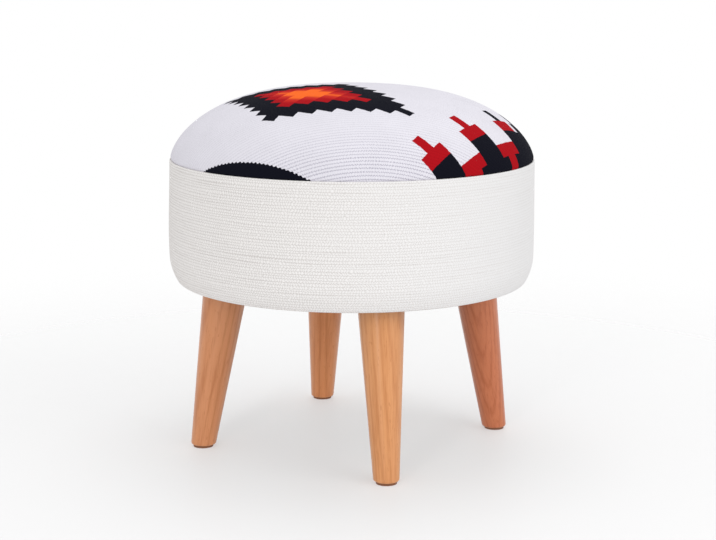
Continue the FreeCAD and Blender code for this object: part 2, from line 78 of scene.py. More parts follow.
LEG_SPLAY = math.atan2(FOOT_X - BOLT_X, LEG_HIGH.z - LEG_LOW.z)
FULL_TURN = 2 * math.pi
CLOTH_MAP = "cloth"


# Properties


def linear(level):
    """Scene level of one screen level from 0 to 255."""
    share = level / 255
    return share / 12.92 if share <= 0.04045 else ((share + 0.055) / 1.055) ** 2.4


def plain(name, description, default):
    """A number without a unit."""
    return FloatProperty(name=name, description=description, default=default)


def length(name, description, metres):
    return FloatProperty(name=name, description=description, default=metres, precision=5, unit="LENGTH")


def angle(name, description, degrees):
    return FloatProperty(name=name, description=description, default=math.radians(degrees), subtype="ANGLE")


def colour(name, description, red, green, blue):
    """A colour property, given as it looks on a screen, from 0 to 255."""
    seen = (linear(red), linear(green), linear(blue), 1.0)
    return FloatVectorProperty(name=name, description=description, default=seen, size=4, min=0.0, max=1.0,
                               subtype="COLOR")


class PoufSizes(bpy.types.PropertyGroup):
    crown_rise: length("Crown rise", "Seam to the top of the dome", CROWN_Z - SEAM_Z)
    crown_round: plain("Crown roundness", "How far the dome stays full towards its rim", 2.73)
    crown_arch: plain("Crown arch", "How quickly the dome rises from the seam", 1.61)
    cover_thick: length("Cover", "Thickness of the kilim cloth", 0.0015)
    band_thick: length("Band", "Thickness of the side band's cloth", 0.0012)
    dust_thick: length("Dust cloth", "Thickness of the cloth under the base board", 0.0008)
    wadding_thick: length("Wadding", "Thickness of the wadding under the cover", 0.006)
    layer_gap: length("Layer gap", "Room between two soft layers", 0.0003)
    seam_roll: length("Seam roll", "Radius of the band's folded upper edge", 0.0015)
    seam_tuck: length("Seam tuck", "Cloth turned in at a seam", 0.006)
    seam_draw: length("Seam draw", "How far the cover is drawn in at the seam", 0.0014)
    seam_rise: length("Seam rise", "Height over which it is drawn in", 0.0035)
    edge_sweep: length("Edge sweep", "Radius of the long curve above the lower edge", 0.0531)
    edge_roll: length("Edge roll", "Radius of the lower edge", 0.0045)
    edge_lean: angle("Edge lean", "Where the long curve meets the lower edge", 27)
    band_swell: length("Band swell", "How far the padding pushes the band out", 0.0009)
    band_uneven: plain("Band unevenness", "Share by which the left side swells more than the right", 1.2)
    hem_width: length("Hem", "Cloth turned under the base board", 0.017)
    hem_step: length("Hem step", "Width over which the dust cloth steps down over the hem", 0.003)
    dust_ripple: length("Dust ripple", "Height of the ripples along the dust cloth's edge", 0.0002)
    bolt_room: length("Bolt room", "Room round a bolt in the dust cloth", 0.001)
    foam_round: length("Foam shoulder", "Radius of the foam's shoulder", 0.006)
    foam_drop: length("Shoulder drop", "Seam to the foot of that shoulder", 0.02)
    pad_edge: length("Pad edge", "Bevel where foam and padding meet", 0.002)
    pad_drop: length("Pad drop", "Deck to the top of the padding's swelling face", 0.01)
    thread_pitch: length("Thread pitch", "Rise of the bolt's thread in one turn", 0.00125)
    thread_depth: length("Thread depth", "Crest to root of that thread", 0.0007)
    screw_pitch: length("Screw pitch", "Rise of the bolt's wood thread in one turn", 0.003)
    screw_depth: length("Screw depth", "Crest to root of that wood thread", 0.0011)


class KilimPattern(bpy.types.PropertyGroup):
    cloth_turn: angle("Cloth turn", "Turn of the woven pattern about the drum's axis", -42.76)
    rib_turn: angle("Rib turn", "Turn of the cloth's fine ribs", -8.0)
    rib_pitch: length("Rib pitch", "One rib of the kilim to the next", 0.00365)
    # Painted shade between the ribs is faint in the middle and grows to full between these two distances
    rib_shade_start: length("Rib start", "The ribs begin to open this far from the middle", 0.14)
    rib_shade_full: length("Rib opening", "The ribs are pulled wide open this far from the middle", 0.21)
    medallion_u: length("Medallion across", "Middle of the medallion, across", -0.0109)
    medallion_v: length("Medallion along", "Middle of the medallion, along", -0.0745)
    medallion_repeat: length("Medallion repeat", "One medallion to the next, along", 0.257)
    step_right: length("Right step", "One step across the wider half of the diamonds", 0.0164)
    step_left: length("Left step", "One step across the narrower half of the diamonds", 0.0133)
    step_near: length("Near step", "One step along the nearer half of the diamonds", 0.00985)
    step_far: length("Far step", "One step along the farther half of the diamonds", 0.01005)
    navy_steps: plain("Dark steps", "Steps of the dark diamond", 7)
    red_steps: plain("Red steps", "Steps of the red diamond", 4)
    scarlet_steps: plain("Scarlet steps", "Steps of the scarlet diamond", 2.7)
    orange_steps: plain("Orange steps", "Steps of the orange diamond", 1.7)
    edge_blend: length("Edge blend", "Width over which two yarns meet at a diamond's edge", 0.0006)
    yarn_blend: length("Yarn blend", "Width over which the warm yarns run into each other", 0.005)
    border_v: length("Border", "Edge of the dark border, along", -0.2032)
    border_lean: plain("Border lean", "Fall of that edge across the cloth", 0.01)
    border_bow: plain("Border bow", "How much that edge bows, to the metre", 0.566)
    tooth_pitch: length("Tooth pitch", "One tooth of the border to the next", 0.005)
    tooth_height: length("Tooth height", "Height of those teeth", 0.0012)
    comb_fold: length("Comb mirror", "The comb repeats in mirror beyond here, along", 0.0555)
    stem_long: length("Stem", "Length of a finger's stem", 0.0195)
    stem_half: length("Stem half width", "Half the width of that stem", 0.0056)
    block_long: length("Block", "Length of a finger's block, and of the steps below it", 0.0152)
    block_half: length("Block half width", "Half the width of that block", 0.0168)
    gap_long: length("Gap", "Length of the red block between two fingers", 0.0142)
    foot_half: length("Foot half width", "Half the width of the red foot under that block", 0.0078)
    foot_shift: length("Foot shift", "How far that foot is off the middle of its block", 0.0008)


class PoufColours(bpy.types.PropertyGroup):
    kilim_white: colour("Kilim white", "Ground of the kilim", 228, 226, 234)
    kilim_shadow: colour("Kilim shadow", "Between the ribs of the ground", 176, 172, 187)
    kilim_navy: colour("Kilim navy", "Dark yarn", 16, 17, 27)
    kilim_red: colour("Kilim red", "Red yarn", 172, 16, 26)
    kilim_scarlet: colour("Kilim scarlet", "Scarlet yarn", 204, 44, 36)
    kilim_orange: colour("Kilim orange", "Orange yarn", 255, 112, 40)
    # Side band: its raised yarns, a painted warm tint of light on its left side, painted shade between its
    # yarns, and painted shade lines in the grooves beside thin yarns
    band_light: colour("Band light", "Raised yarns of the side band, on its whiter side", 238, 240, 243)
    band_painted_warmth: colour("Band cream", "Raised yarns on its warmer side", 246, 243, 241)
    band_shadow: colour("Band shadow", "Between the yarns of the side band", 212, 208, 205)
    band_groove_shade: colour("Band streak", "Dark line beside a thin yarn of the side band", 202, 196, 193)
    wood_front: colour("Front leg", "Tone of the front leg", 215, 146, 89)
    wood_right: colour("Right leg", "Tone of the right leg", 193, 109, 66)
    wood_back: colour("Back leg", "Tone of the back leg", 209, 133, 78)
    wood_left: colour("Left leg", "Tone of the left leg", 206, 135, 86)
    plywood: colour("Plywood", "Face of the two boards", 214, 184, 140)
    post_wood: colour("Posts", "Raw softwood", 222, 190, 142)
    wall_board: colour("Wall board", "Brown hardboard", 120, 84, 58)
    wadding: colour("Wadding", "White fibre", 240, 240, 238)
    foam: colour("Foam", "Pale yellow foam", 236, 220, 160)
    dust_cloth: colour("Dust cloth", "Black spun cloth", 34, 34, 36)
    zinc: colour("Zinc", "Plated steel", 196, 198, 202)
    glide: colour("Glide", "Brown plastic", 136, 88, 58)
    floor: colour("Floor", "Pale floor", 246, 246, 247)


class StageSettings(bpy.types.PropertyGroup):
    camera_distance: length("Camera distance", "Camera to the drum's axis, along the floor", 1.6798)
    camera_height: length("Camera height", "Camera above the floor", 0.5116)
    camera_bearing: angle("Camera bearing", "Turn of the camera about the drum's axis", 12.357)
    camera_heading: angle("Camera heading", "Direction that the camera looks in", 12.577)
    camera_pitch: angle("Camera pitch", "How far the camera looks down", 11.062)
    camera_roll: angle("Camera roll", "Turn of the camera about its view", 0.151)
    focal_length: plain("Focal length", "In millimetres, on the sensor's width", 81.16)
    sensor_width: plain("Sensor width", "In millimetres", 36)
    sky_level: plain("Sky level", "Even light from all round", 0.72)
    key_power: plain("Key lamp", "Watts of the soft lamp on the right", 14.4)
    fill_power: plain("Fill lamp", "Watts of the soft lamp on the left", 11.5)
    top_power: plain("Top lamp", "Watts of the soft lamp above", 8.5)
    floor_radius: length("Floor", "Radius of the floor", 3.0)
    floor_share: plain("Floor share", "How much of the floor shows", 0.56)
    floor_solid: length("Floor solid", "The floor is whole out to here", 0.25)
    floor_fade: length("Floor fade", "The floor has faded into white here", 1.05)


# Node trees


class Level:
    """What one socket puts out, which can be reckoned with like a number."""

    def __init__(self, wiring, socket):
        self.wiring = wiring
        self.socket = socket

    def __add__(self, other):
        return self.wiring.math("ADD", self, other)

    def __sub__(self, other):
        return self.wiring.math("SUBTRACT", self, other)

    def __rsub__(self, other):
        return self.wiring.math("SUBTRACT", other, self)

    def __mul__(self, other):
        return self.wiring.math("MULTIPLY", self, other)

    def __truediv__(self, other):
        return self.wiring.math("DIVIDE", self, other)

    def __pow__(self, other):
        return self.wiring.math("POWER", self, other)

    def __abs__(self):
        return self.wiring.math("ABSOLUTE", self)

    def __floor__(self):
        return self.wiring.math("FLOOR", self)


class Wiring:
    """Short ways to add and link the nodes of one tree."""

    def __init__(self, tree):
        self.tree = tree

    def feed(self, socket, given):
        if isinstance(given, Level):
            self.tree.links.new(given.socket, socket)
        else:
            socket.default_value = given

    def node(self, kind, inputs=(), **settings):
        node = self.tree.nodes.new(kind)
        for name, setting in settings.items():
            setattr(node, name, setting)
        for key, given in dict(inputs).items():
            self.feed(node.inputs[key], given)
        return node

    def add(self, kind, inputs=(), output=0, **settings):
        """One output of a new node."""
        return Level(self, self.node(kind, inputs, **settings).outputs[output])

    def outputs(self, kind, inputs=(), **settings):
        """All outputs of a new node, by name."""
        node = self.node(kind, inputs, **settings)
        return {socket.name: Level(self, socket) for socket in node.outputs}

    def math(self, operation, *values):
        return self.add("ShaderNodeMath", enumerate(values), operation=operation)

    def vector(self, operation, inputs, output=0):
        return self.add("ShaderNodeVectorMath", inputs, output, operation=operation)

    def axes(self, vector):
        return self.outputs("ShaderNodeSeparateXYZ", {0: vector})

    def most(self, *values):
        """The largest of several values."""
        found = values[0]
        for value in values[1:]:
            found = self.math("MAXIMUM", found, value)
        return found

    def mix(self, share, first, second):
        return self.add("ShaderNodeMix", {0: share, 6: first, 7: second}, output=2, data_type="RGBA")

    def noise(self, vector, scale, detail=2.0):
        """Noise of so many lumps to the metre along each axis."""
        stretched = self.vector("MULTIPLY", {0: vector, 1: scale})
        return self.add("ShaderNodeTexNoise", {"Vector": stretched, "Scale": 1.0, "Detail": detail})

    def wave(self, value):
        """Rises and falls between 0 and 1, once for each whole number."""
        return self.math("COSINE", value * FULL_TURN) * -0.5 + 0.5

    def ramp(self, value, low, high, to_low=0.0, to_high=1.0):
        inputs = {"Value": value, "From Min": low, "From Max": high, "To Min": to_low, "To Max": to_high}
        return self.add("ShaderNodeMapRange", inputs, interpolation_type="SMOOTHSTEP")

    def group(self, tree, **inputs):
        named = {name.replace("_", " ").title(): given for name, given in inputs.items()}
        return self.outputs("ShaderNodeGroup", named, node_tree=tree)

    def place(self, location=(0, 0, 0), rotation=(0, 0, 0), kind="POINT"):
        """The piece's own coordinates, which are the frame's, moved and turned."""
        spot = self.add("ShaderNodeTexCoord", output="Object")
        inputs = {"Vector": spot, "Location": location, "Rotation": rotation}
        return self.add("ShaderNodeMapping", inputs, vector_type=kind)

    def on_cloth(self, turn=0.0):
        """Places on the cloth laid flat, in metres, turned."""
        spot = self.add("ShaderNodeUVMap", uv_map=CLOTH_MAP)
        return self.add("ShaderNodeMapping", {"Vector": spot, "Rotation": (0, 0, turn)})


class SharedGroup(Wiring):
    """A new shader group that is given a place and some values, and puts out values."""

    def __init__(self, name, takes, gives):
        super().__init__(bpy.data.node_groups.new(name, "ShaderNodeTree"))
        self.tree.interface.new_socket("Vector", in_out="INPUT", socket_type="NodeSocketVector")
        for way, labels in (("INPUT", takes), ("OUTPUT", gives)):
            for label in labels:
                self.tree.interface.new_socket(label, in_out=way, socket_type="NodeSocketFloat")
        self.given = self.outputs("NodeGroupInput")
        self.end = self.node("NodeGroupOutput")

    def put_out(self, **values):
        for name, value in values.items():
            self.feed(self.end.inputs[name.title()], value)


# Lumps of noise to the metre along X, Y and Z, in cloth
SLUBS = (9, 190, 190)
YARN_FIBRES = (700, 900, 900)
YARN_JITTER = (110, 330, 330)
THIN_PATCHES = (16, 330, 330)
# Yarns that slip along their row at most, and how narrow the groove between two rows is
YARN_SLIP = 2.5
GROOVE_POWER = 3.0


def weave_group():
    """Ribs across Y, yarns that step along X, and where painted shade lines lie in the grooves beside the
    rows that are thin.
    """
    group = SharedGroup(
        "Weave", ("Rib Pitch", "Yarn Pitch", "Rib Depth", "Yarn Depth", "Wander"), ("Height", "Streak"))
    given = group.given
    spot = given["Vector"]
    axes = group.axes(spot)
    slub = group.noise(spot, SLUBS) - 0.5
    across = axes["Y"] / given["Rib Pitch"] + slub * given["Wander"]
    row = math.floor(across)
    slip = group.noise(spot, YARN_JITTER, detail=1) * YARN_SLIP
    along = axes["X"] / given["Yarn Pitch"] + slip + row * 0.5
    groove = (1.0 - group.wave(across)) ** GROOVE_POWER
    dip = 1.0 - group.wave(along)
    dashes = groove * (dip + 0.5)
    fibres = (group.noise(spot, YARN_FIBRES) - 0.5) * 0.5
    height = 1.0 - (dip * given["Yarn Depth"] + dashes * given["Rib Depth"]) + fibres
    # Streak is the mask of painted shade lines in the grooves beside the thinner rows
    thin = group.add("ShaderNodeTexWhiteNoise", {"W": row}, output="Value", noise_dimensions="1D")
    uneven_yarn_and_shade = group.noise(spot, THIN_PATCHES, detail=1) * 2.0 + thin * 0.5
    group.put_out(height=height, streak=group.ramp(uneven_yarn_and_shade, low=1.35, high=1.75) * groove ** 0.5)
    return group.tree


# Lumps of noise to the metre across and along the grain, in wood
GRAIN_BENDS = (24, 24, 5)
GRAIN_STRIPS = (170, 170, 6)
GRAIN_FIBRES = (900, 900, 22)
GRAIN_FLECKS = (520, 520, 130)


def grain_group():
    """Growth rings and fibres that run along Z."""
    group = SharedGroup("Long grain", ("Ring Pitch", "Figure"), ("Ring", "Strip", "Fibre", "Fleck"))
    spot = group.given["Vector"]
    axes = group.axes(spot)
    flat = group.add("ShaderNodeCombineXYZ", {0: axes["X"], 1: axes["Y"]})
    bend = group.noise(spot, GRAIN_BENDS) - 0.5
    reach = group.vector("LENGTH", {0: flat}, output="Value") + bend * group.given["Figure"]
    fibre = group.noise(spot, GRAIN_FIBRES, detail=3)
    fleck = group.ramp(group.noise(spot, GRAIN_FLECKS, detail=1), low=0.66, high=0.74)
    group.put_out(ring=group.wave(reach / group.given["Ring Pitch"]), strip=group.noise(spot, GRAIN_STRIPS),
                  fibre=fibre, fleck=fleck)
    return group.tree


# Lumps of noise to the metre, in matted fibre and on handled pieces
FLUFF_LUMPS = (90, 90, 90)
FLUFF_STRANDS = (850, 850, 850)
DULL_PATCHES = (180, 180, 180)
SCRATCHES = (2600, 400, 1500)


def fluff_group():
    """Matted fibres: lumps with fine strands over them."""
    group = SharedGroup("Matted fibre", ("Strand",), ("Height", "Shade"))
    lumps = group.noise(group.given["Vector"], FLUFF_LUMPS, detail=3)
    strands = group.noise(group.given["Vector"], FLUFF_STRANDS, detail=4)
    group.put_out(height=strands * group.given["Strand"] + lumps, shade=(lumps + strands) * 0.5)
    return group.tree


def handling_group():
    """Dull patches and fine scratches on hard, shiny pieces."""
    group = SharedGroup("Handling", (), ("Dull", "Scratch"))
    scratch = group.noise(group.given["Vector"], SCRATCHES)
    group.put_out(dull=group.noise(group.given["Vector"], DULL_PATCHES, detail=4),
                  scratch=group.ramp(scratch, low=0.35, high=0.7))
    return group.tree


GROUP_MAKERS = {"Weave": weave_group, "Long grain": grain_group, "Matted fibre": fluff_group,
                "Handling": handling_group}


def shared(name):
    """A shared group, built when it is first asked for."""
    return bpy.data.node_groups.get(name) or GROUP_MAKERS[name]()


class Finish(Wiring):
    """A new material whose shader is given what is the same all over, and then what varies."""

    def __init__(self, name, **constants):
        self.material = bpy.data.materials.new(name)
        self.material.use_nodes = True
        super().__init__(self.material.node_tree)
        self.paint(**constants)

    def paint(self, **inputs):
        shader = self.tree.nodes["Principled BSDF"].inputs
        for label, given in inputs.items():
            self.feed(shader[label.replace("_", " ").title().replace("Ior", "IOR")], given)

    def emboss(self, height, depth, strength):
        inputs = {"Strength": strength, "Distance": depth, "Height": height}
        self.paint(normal=self.add("ShaderNodeBump", inputs))


def shaded(tone, shares):
    """A colour with each of its levels at a share."""
    return [level * share for level, share in zip(tone, shares)] + [1.0]


# Kilim


def stepped_diamond(group, u, v, middle, steps, pattern, blend):
    """Mask of a diamond whose edge steps in by whole steps, wider on one side, and blends over a width."""
    across, along = u - middle[0], v - middle[1]
    column = group.most(across / pattern.step_right, across / -pattern.step_left)
    row = group.most(along / pattern.step_far, along / -pattern.step_near)
    inside = steps + 0.5 - (math.floor(column + 0.5) + row)
    return group.ramp(inside, -blend / pattern.step_near, blend / pattern.step_near)


# Fingers of the comb: middle along the cloth, and tip across it; then a reach past the edge of the cloth
FINGERS = ((-0.1065, 0.1349), (-0.0385, 0.1377), (0.0340, 0.1385))
COMB_END = 0.3


def comb(group, u, v, pattern):
    """Masks of the red and the dark parts of a comb that repeats in mirror beyond its last finger."""
    red, navy = [], []
    mirrored = pattern.comb_fold - abs(v - pattern.comb_fold)

    def bar(masks, from_u, to_u, middle_v, half_v, place=mirrored):
        """Adds the mask of a rectangle in the cloth's grid."""
        along = group.math("COMPARE", u, (from_u + to_u) / 2, (to_u - from_u) / 2)
        masks.append(along * group.math("COMPARE", place, middle_v, half_v))

    for middle, tip in FINGERS:
        last = (middle, tip) == FINGERS[-1]
        block = tip + pattern.stem_long
        root = block + pattern.block_long
        finger = navy if last else red
        bar(finger, tip, block, middle, pattern.stem_half)
        bar(finger, block, root, middle, pattern.block_half)
        if not last:
            bar(navy, root, COMB_END, middle, pattern.block_half)
    # The last finger's block is red on its own side of the mirror, and one dark root spans both sides
    bar(red, block, root, middle, pattern.block_half, v)
    bar(navy, root, COMB_END, pattern.comb_fold, pattern.comb_fold - middle + pattern.block_half, v)
    for (middle, tip), (after, after_tip) in zip(FINGERS, FINGERS[1:]):
        between = (middle + after) / 2
        gap_half = (after - middle) / 2 - pattern.block_half
        gap = (tip + after_tip) / 2 + pattern.stem_long + 2 * pattern.block_long
        foot = gap + pattern.gap_long
        bar(red, gap, foot, between, gap_half)
        bar(navy, foot, COMB_END, between, gap_half)
        bar(red, foot, COMB_END, between - pattern.foot_shift, pattern.foot_half)
    return red, navy


def kilim_pattern_group(pattern):
    """Masks of the dark, red, scarlet and orange yarns from a place on the cloth."""
    group = SharedGroup("Kilim pattern", (), ("Navy", "Red", "Scarlet", "Orange"))
    axes = group.axes(group.given["Vector"])
    u, v = axes["X"], axes["Y"]
    red, navy = comb(group, u, v, pattern)
    scarlet, orange = [], []
    for repeat in (0, 1):
        middle = (pattern.medallion_u, pattern.medallion_v + repeat * pattern.medallion_repeat)
        for masks, steps, blend in (
                (navy, pattern.navy_steps, pattern.edge_blend),
                (red, pattern.red_steps, pattern.edge_blend),
                (scarlet, pattern.scarlet_steps, pattern.yarn_blend),
                (orange, pattern.orange_steps, pattern.yarn_blend)):
            masks.append(stepped_diamond(group, u, v, middle, steps, pattern, blend))
    border = group.wave(u / pattern.tooth_pitch) * pattern.tooth_height + pattern.border_v
    bowed = v + u * (u * pattern.border_bow + pattern.border_lean)
    navy.append(group.math("LESS_THAN", bowed, border))
    group.put_out(navy=group.most(*navy), red=group.most(*red), scarlet=group.most(*scarlet),
                  orange=group.most(*orange))
    return group.tree


# Lumps to the metre of the noise that unsettles the pattern's edges, and how far it moves them
EDGE_WOBBLE = 320.0
WOBBLE_REACH = (0.0012, 0.0012, 0)
WOOL_BLOTCHES = (30, 30, 30)
# One dash of a kilim rib to the next, as a share of the ribs' pitch
DASH_SHARE = 0.72


def kilim_cloth(colours, pattern):
    """Flat woven wool: a ribbed white ground with the pattern in dark, red and orange yarn, and painted
    shade in the grooves between the ribs that grows away from the middle.
    """
    finish = Finish("kilim_cloth", roughness=0.95, specular_ior_level=0.06)
    on_cloth = finish.on_cloth(-pattern.cloth_turn)
    inputs = {"Vector": on_cloth, "Scale": EDGE_WOBBLE, "Detail": 1.0}
    wobble = finish.add("ShaderNodeTexNoise", inputs, output="Color")
    shift = finish.vector("SUBTRACT", {0: wobble, 1: (0.5, 0.5, 0.5)})
    woven = finish.vector("MULTIPLY_ADD", {0: shift, 1: WOBBLE_REACH, 2: on_cloth})
    masks = finish.group(kilim_pattern_group(pattern), vector=woven)
    ribs = finish.on_cloth(-pattern.rib_turn)
    dash_pitch = pattern.rib_pitch * DASH_SHARE
    weave = finish.group(shared("Weave"), vector=ribs, rib_pitch=pattern.rib_pitch, yarn_pitch=dash_pitch,
                         rib_depth=0.5, yarn_depth=0.3, wander=0.5)
    # Painted shade in the grooves between the ribs, faint in the middle of the cover and full further out
    groove_shade_weight = finish.ramp(abs(finish.axes(ribs)["Y"]), pattern.rib_shade_start, pattern.rib_shade_full, to_low=0.15)
    low = finish.ramp(weave["Height"], low=0.1, high=0.9, to_low=1.0, to_high=0.0) * groove_shade_weight
    yarns = finish.mix(low, colours.kilim_white, colours.kilim_shadow)
    for label in ("Navy", "Red", "Scarlet", "Orange"):
        yarns = finish.mix(masks[label], yarns, getattr(colours, f"kilim_{label.lower()}"))
    # The yarns are also painted a little darker in the grooves, as shade, over a blotchy tone of the wool
    raised = finish.ramp(weave["Height"], low=0.1, high=0.9, to_low=0.9, to_high=0.95)
    tone = finish.noise(ribs, WOOL_BLOTCHES, detail=3) * 0.1 + raised
    finish.paint(base_color=finish.vector("SCALE", {0: yarns, 3: tone}))
    finish.emboss(weave["Height"], depth=0.0005, strength=0.5)
    return finish.material


# Other finishes

# Share of the band's yarns that lies low in painted shade, and how strongly the painted shade lines beside
# thin yarns show
BAND_LOW_SHARE = 0.35
GROOVE_SHADE_SHARE = 0.4


def band_cloth(colours):
    """Coarse off-white cloth with thick and thin yarns round the drum; its relief, the painted shade between
    its yarns and a painted warm tint of light are all strongest on the left.
    """
    finish = Finish("band_cloth", roughness=0.95, specular_ior_level=0.12)
    weave = finish.group(shared("Weave"), vector=finish.on_cloth(), rib_pitch=0.0028, yarn_pitch=0.0028,
                         rib_depth=0.35, yarn_depth=0.5, wander=1.2)
    # Painted raking light from the right: towards the left the shade between the yarns and beside thin yarns
    # is painted stronger, the raised yarns take a painted warm tint, and the relief is deeper
    uneven_yarn_and_shade = finish.ramp(finish.axes(finish.place())["X"], SEAM_RADIUS, -SEAM_RADIUS, to_low=0.3)
    sunken = finish.ramp(weave["Height"], low=0.1, high=1.0, to_low=1.0, to_high=0.0)
    low = (sunken - BAND_LOW_SHARE) * uneven_yarn_and_shade + BAND_LOW_SHARE
    raised = finish.mix(uneven_yarn_and_shade, colours.band_light, colours.band_painted_warmth)
    woven = finish.mix(low, raised, colours.band_shadow)
    # Painted shade lines in the grooves beside thin yarns, strongest on the left
    streak = weave["Streak"] * uneven_yarn_and_shade * GROOVE_SHADE_SHARE
    finish.paint(base_color=finish.mix(streak, woven, colours.band_groove_shade))
    finish.emboss(weave["Height"] * uneven_yarn_and_shade, depth=0.0008, strength=0.5)
    return finish.material


# Shares of a leg's tone in its dark and in its pale grain
LEG_DARK = (0.82, 0.72, 0.6)
LEG_PALE = (1.05, 1.08, 1.14)
RING_POWER = 3.0


def leg_wood(place, tone, ring_pitch, heart, tilt):
    """Stained and lacquered beech, its grain along the leg and its heart off to one side and tilted."""
    finish = Finish(f"leg_wood_{place}", specular_ior_level=0.3, coat_roughness=0.24, coat_weight=0.6)
    station = math.radians(STATIONS[place])
    reach = (BOLT_X + FOOT_X) / 2
    middle = (reach * math.cos(station), reach * math.sin(station), (LEG_LOW.z + LEG_HIGH.z) / 2)
    in_leg = finish.place(middle, (0, -LEG_SPLAY, station), "TEXTURE")
    in_log = finish.add("ShaderNodeMapping", {"Vector": in_leg, "Location": heart, "Rotation": tilt})
    grain = finish.group(shared("Long grain"), vector=in_log, ring_pitch=ring_pitch, figure=0.006)
    dark = shaded(tone, LEG_DARK)
    streak = grain["Ring"] ** RING_POWER * 0.25 + grain["Fibre"] * 0.7 + grain["Strip"] * 0.8
    wood = finish.mix(finish.ramp(streak, low=0.6, high=1.25), shaded(tone, LEG_PALE), dark)
    finish.paint(base_color=finish.mix(grain["Fleck"] * 0.6, wood, dark),
                 roughness=grain["Fibre"] * 0.2 + 0.38)
    finish.emboss(grain["Fibre"], depth=0.0002, strength=0.3)
    return finish.material


# Shares of a tone in the dark parts of raw wood, of matted fibre and of handled pieces
BOARD_DARK = (0.68, 0.68, 0.68)
FLUFF_DARK = (0.72, 0.72, 0.72)
HANDLED_DARK = (0.7, 0.7, 0.7)


def board_wood(name, tone, rotation, ring_pitch, figure):
    """Raw wood of the boards, posts and wall, which nobody sees once the pouf is covered."""
    finish = Finish(name, specular_ior_level=0.25)
    spot = finish.place(rotation=rotation)
    grain = finish.group(shared("Long grain"), vector=spot, ring_pitch=ring_pitch, figure=figure)
    shown = finish.ramp(grain["Ring"] * 0.45 + grain["Fibre"] * 0.5, low=0.2, high=0.85)
    finish.paint(base_color=finish.mix(shown, list(tone), shaded(tone, BOARD_DARK)),
                 roughness=grain["Fibre"] * 0.2 + 0.65)
    finish.emboss(grain["Fibre"], depth=0.0003, strength=0.5)
    return finish.material


def fibre_cloth(name, tone, strand, depth):
    """Wadding, foam or spun cloth: matted fibres of one colour."""
    finish = Finish(name, roughness=0.95, specular_ior_level=0.15)
    fluff = finish.group(shared("Matted fibre"), vector=finish.place(), strand=strand)
    shown = finish.ramp(fluff["Shade"], low=0.3, high=0.7)
    finish.paint(base_color=finish.mix(shown, shaded(tone, FLUFF_DARK), list(tone)))
    finish.emboss(fluff["Height"], depth, strength=0.6)
    return finish.material


def hard_finish(name, tone, roughness, scratch_depth, **constants):
    """Plated steel or moulded plastic, dulled here and there by handling."""
    finish = Finish(name, **constants)
    marks = finish.group(shared("Handling"), vector=finish.place())
    finish.paint(base_color=finish.mix(marks["Dull"], list(tone), shaded(tone, HANDLED_DARK)),
                 roughness=marks["Dull"] * 0.3 + roughness)
    finish.emboss(marks["Scratch"], scratch_depth, strength=0.3)
    return finish.material


# Meshes


def new_piece(name, points, faces, material, smooth=True):
    """A mesh object in the frame's own axes."""
    mesh = bpy.data.meshes.new(name)
    mesh.from_pydata([tuple(point) for point in points], [], faces)
    mesh.materials.append(material)
    mesh.polygons.foreach_set("use_smooth", [smooth] * len(mesh.polygons))
    mesh.update()
    piece = bpy.data.objects.new(name, mesh)
    bpy.context.scene.collection.objects.link(piece)
    return piece


def lay_flat(piece, places):
    """Keeps where each point of a cloth lies when it is laid flat, in metres."""
    corners = np.empty(len(piece.data.loops), dtype=int)
    piece.data.loops.foreach_get("vertex_index", corners)
    piece.data.uv_layers.new(name=CLOTH_MAP).data.foreach_set("uv", np.array(places)[corners].ravel())


def settle(piece, body, slot, *nodes):
    """The piece moves with that body and stands for those nodes."""
    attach(piece, body)
    if nodes:
        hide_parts(*nodes)


def dress(material, *names):
    """Gives nodes that keep their own shape a finish."""
    for name in names:
        NODES[name].data.materials.clear()
        NODES[name].data.materials.append(material)


def thicken(piece, thickness):
    """Gives a cloth its thickness, inwards from its face."""
    solid = piece.modifiers.new("cloth_thickness", "SOLIDIFY")
    solid.thickness = thickness
    solid.offset = -1.0


PROFILE_STEPS = 2000
# Share of the band's rolled edge that lies outside the dome's rim
RIM_SHARE = 0.6


def dome_profile(sizes, depth, shares):
    """Radii, heights and lengths of cloth at shares of the way from the dome's top to its rim.

    The profile lies so deep under the dome's face, and the rim just inside the band's rolled edge.
    """
    around = np.linspace(math.pi / 2, 0, PROFILE_STEPS)
    rim = SEAM_RADIUS - RIM_SHARE * sizes.seam_roll
    radius = rim * np.maximum(np.cos(around), 0) ** (2 / sizes.crown_round)
    height = SEAM_Z + sizes.crown_rise * np.maximum(np.sin(around), 0) ** (2 / sizes.crown_arch)
    radius[0] = 0
    radius -= sizes.seam_draw * np.clip(1 - (height - SEAM_Z) / sizes.seam_rise, 0, 1) ** 2
    along_r, along_z = np.gradient(radius), np.gradient(height)
    stride = np.hypot(along_r, along_z)
    radius = np.maximum(radius + depth * along_z / stride, 0)
    height = height - depth * along_r / stride
    far = np.concatenate([[0], np.cumsum(np.hypot(np.diff(radius), np.diff(height)))])
    reach = np.asarray(shares) * far[-1]
    return np.interp(reach, far, radius), np.interp(reach, far, height), reach


def circle(radius, height, count):
    """Points of a level circle round the drum's axis."""
    return [(radius * math.cos(turn), radius * math.sin(turn), height)
            for turn in FULL_TURN * np.arange(count) / count]


# An even disc has this many points on its first ring, and as many more on each ring after it
SECTORS = 6


def ring_start(ring):
    """Number of the first point of a ring of an even disc."""
    return 1 + SECTORS * ring * (ring - 1) // 2 if ring else 0


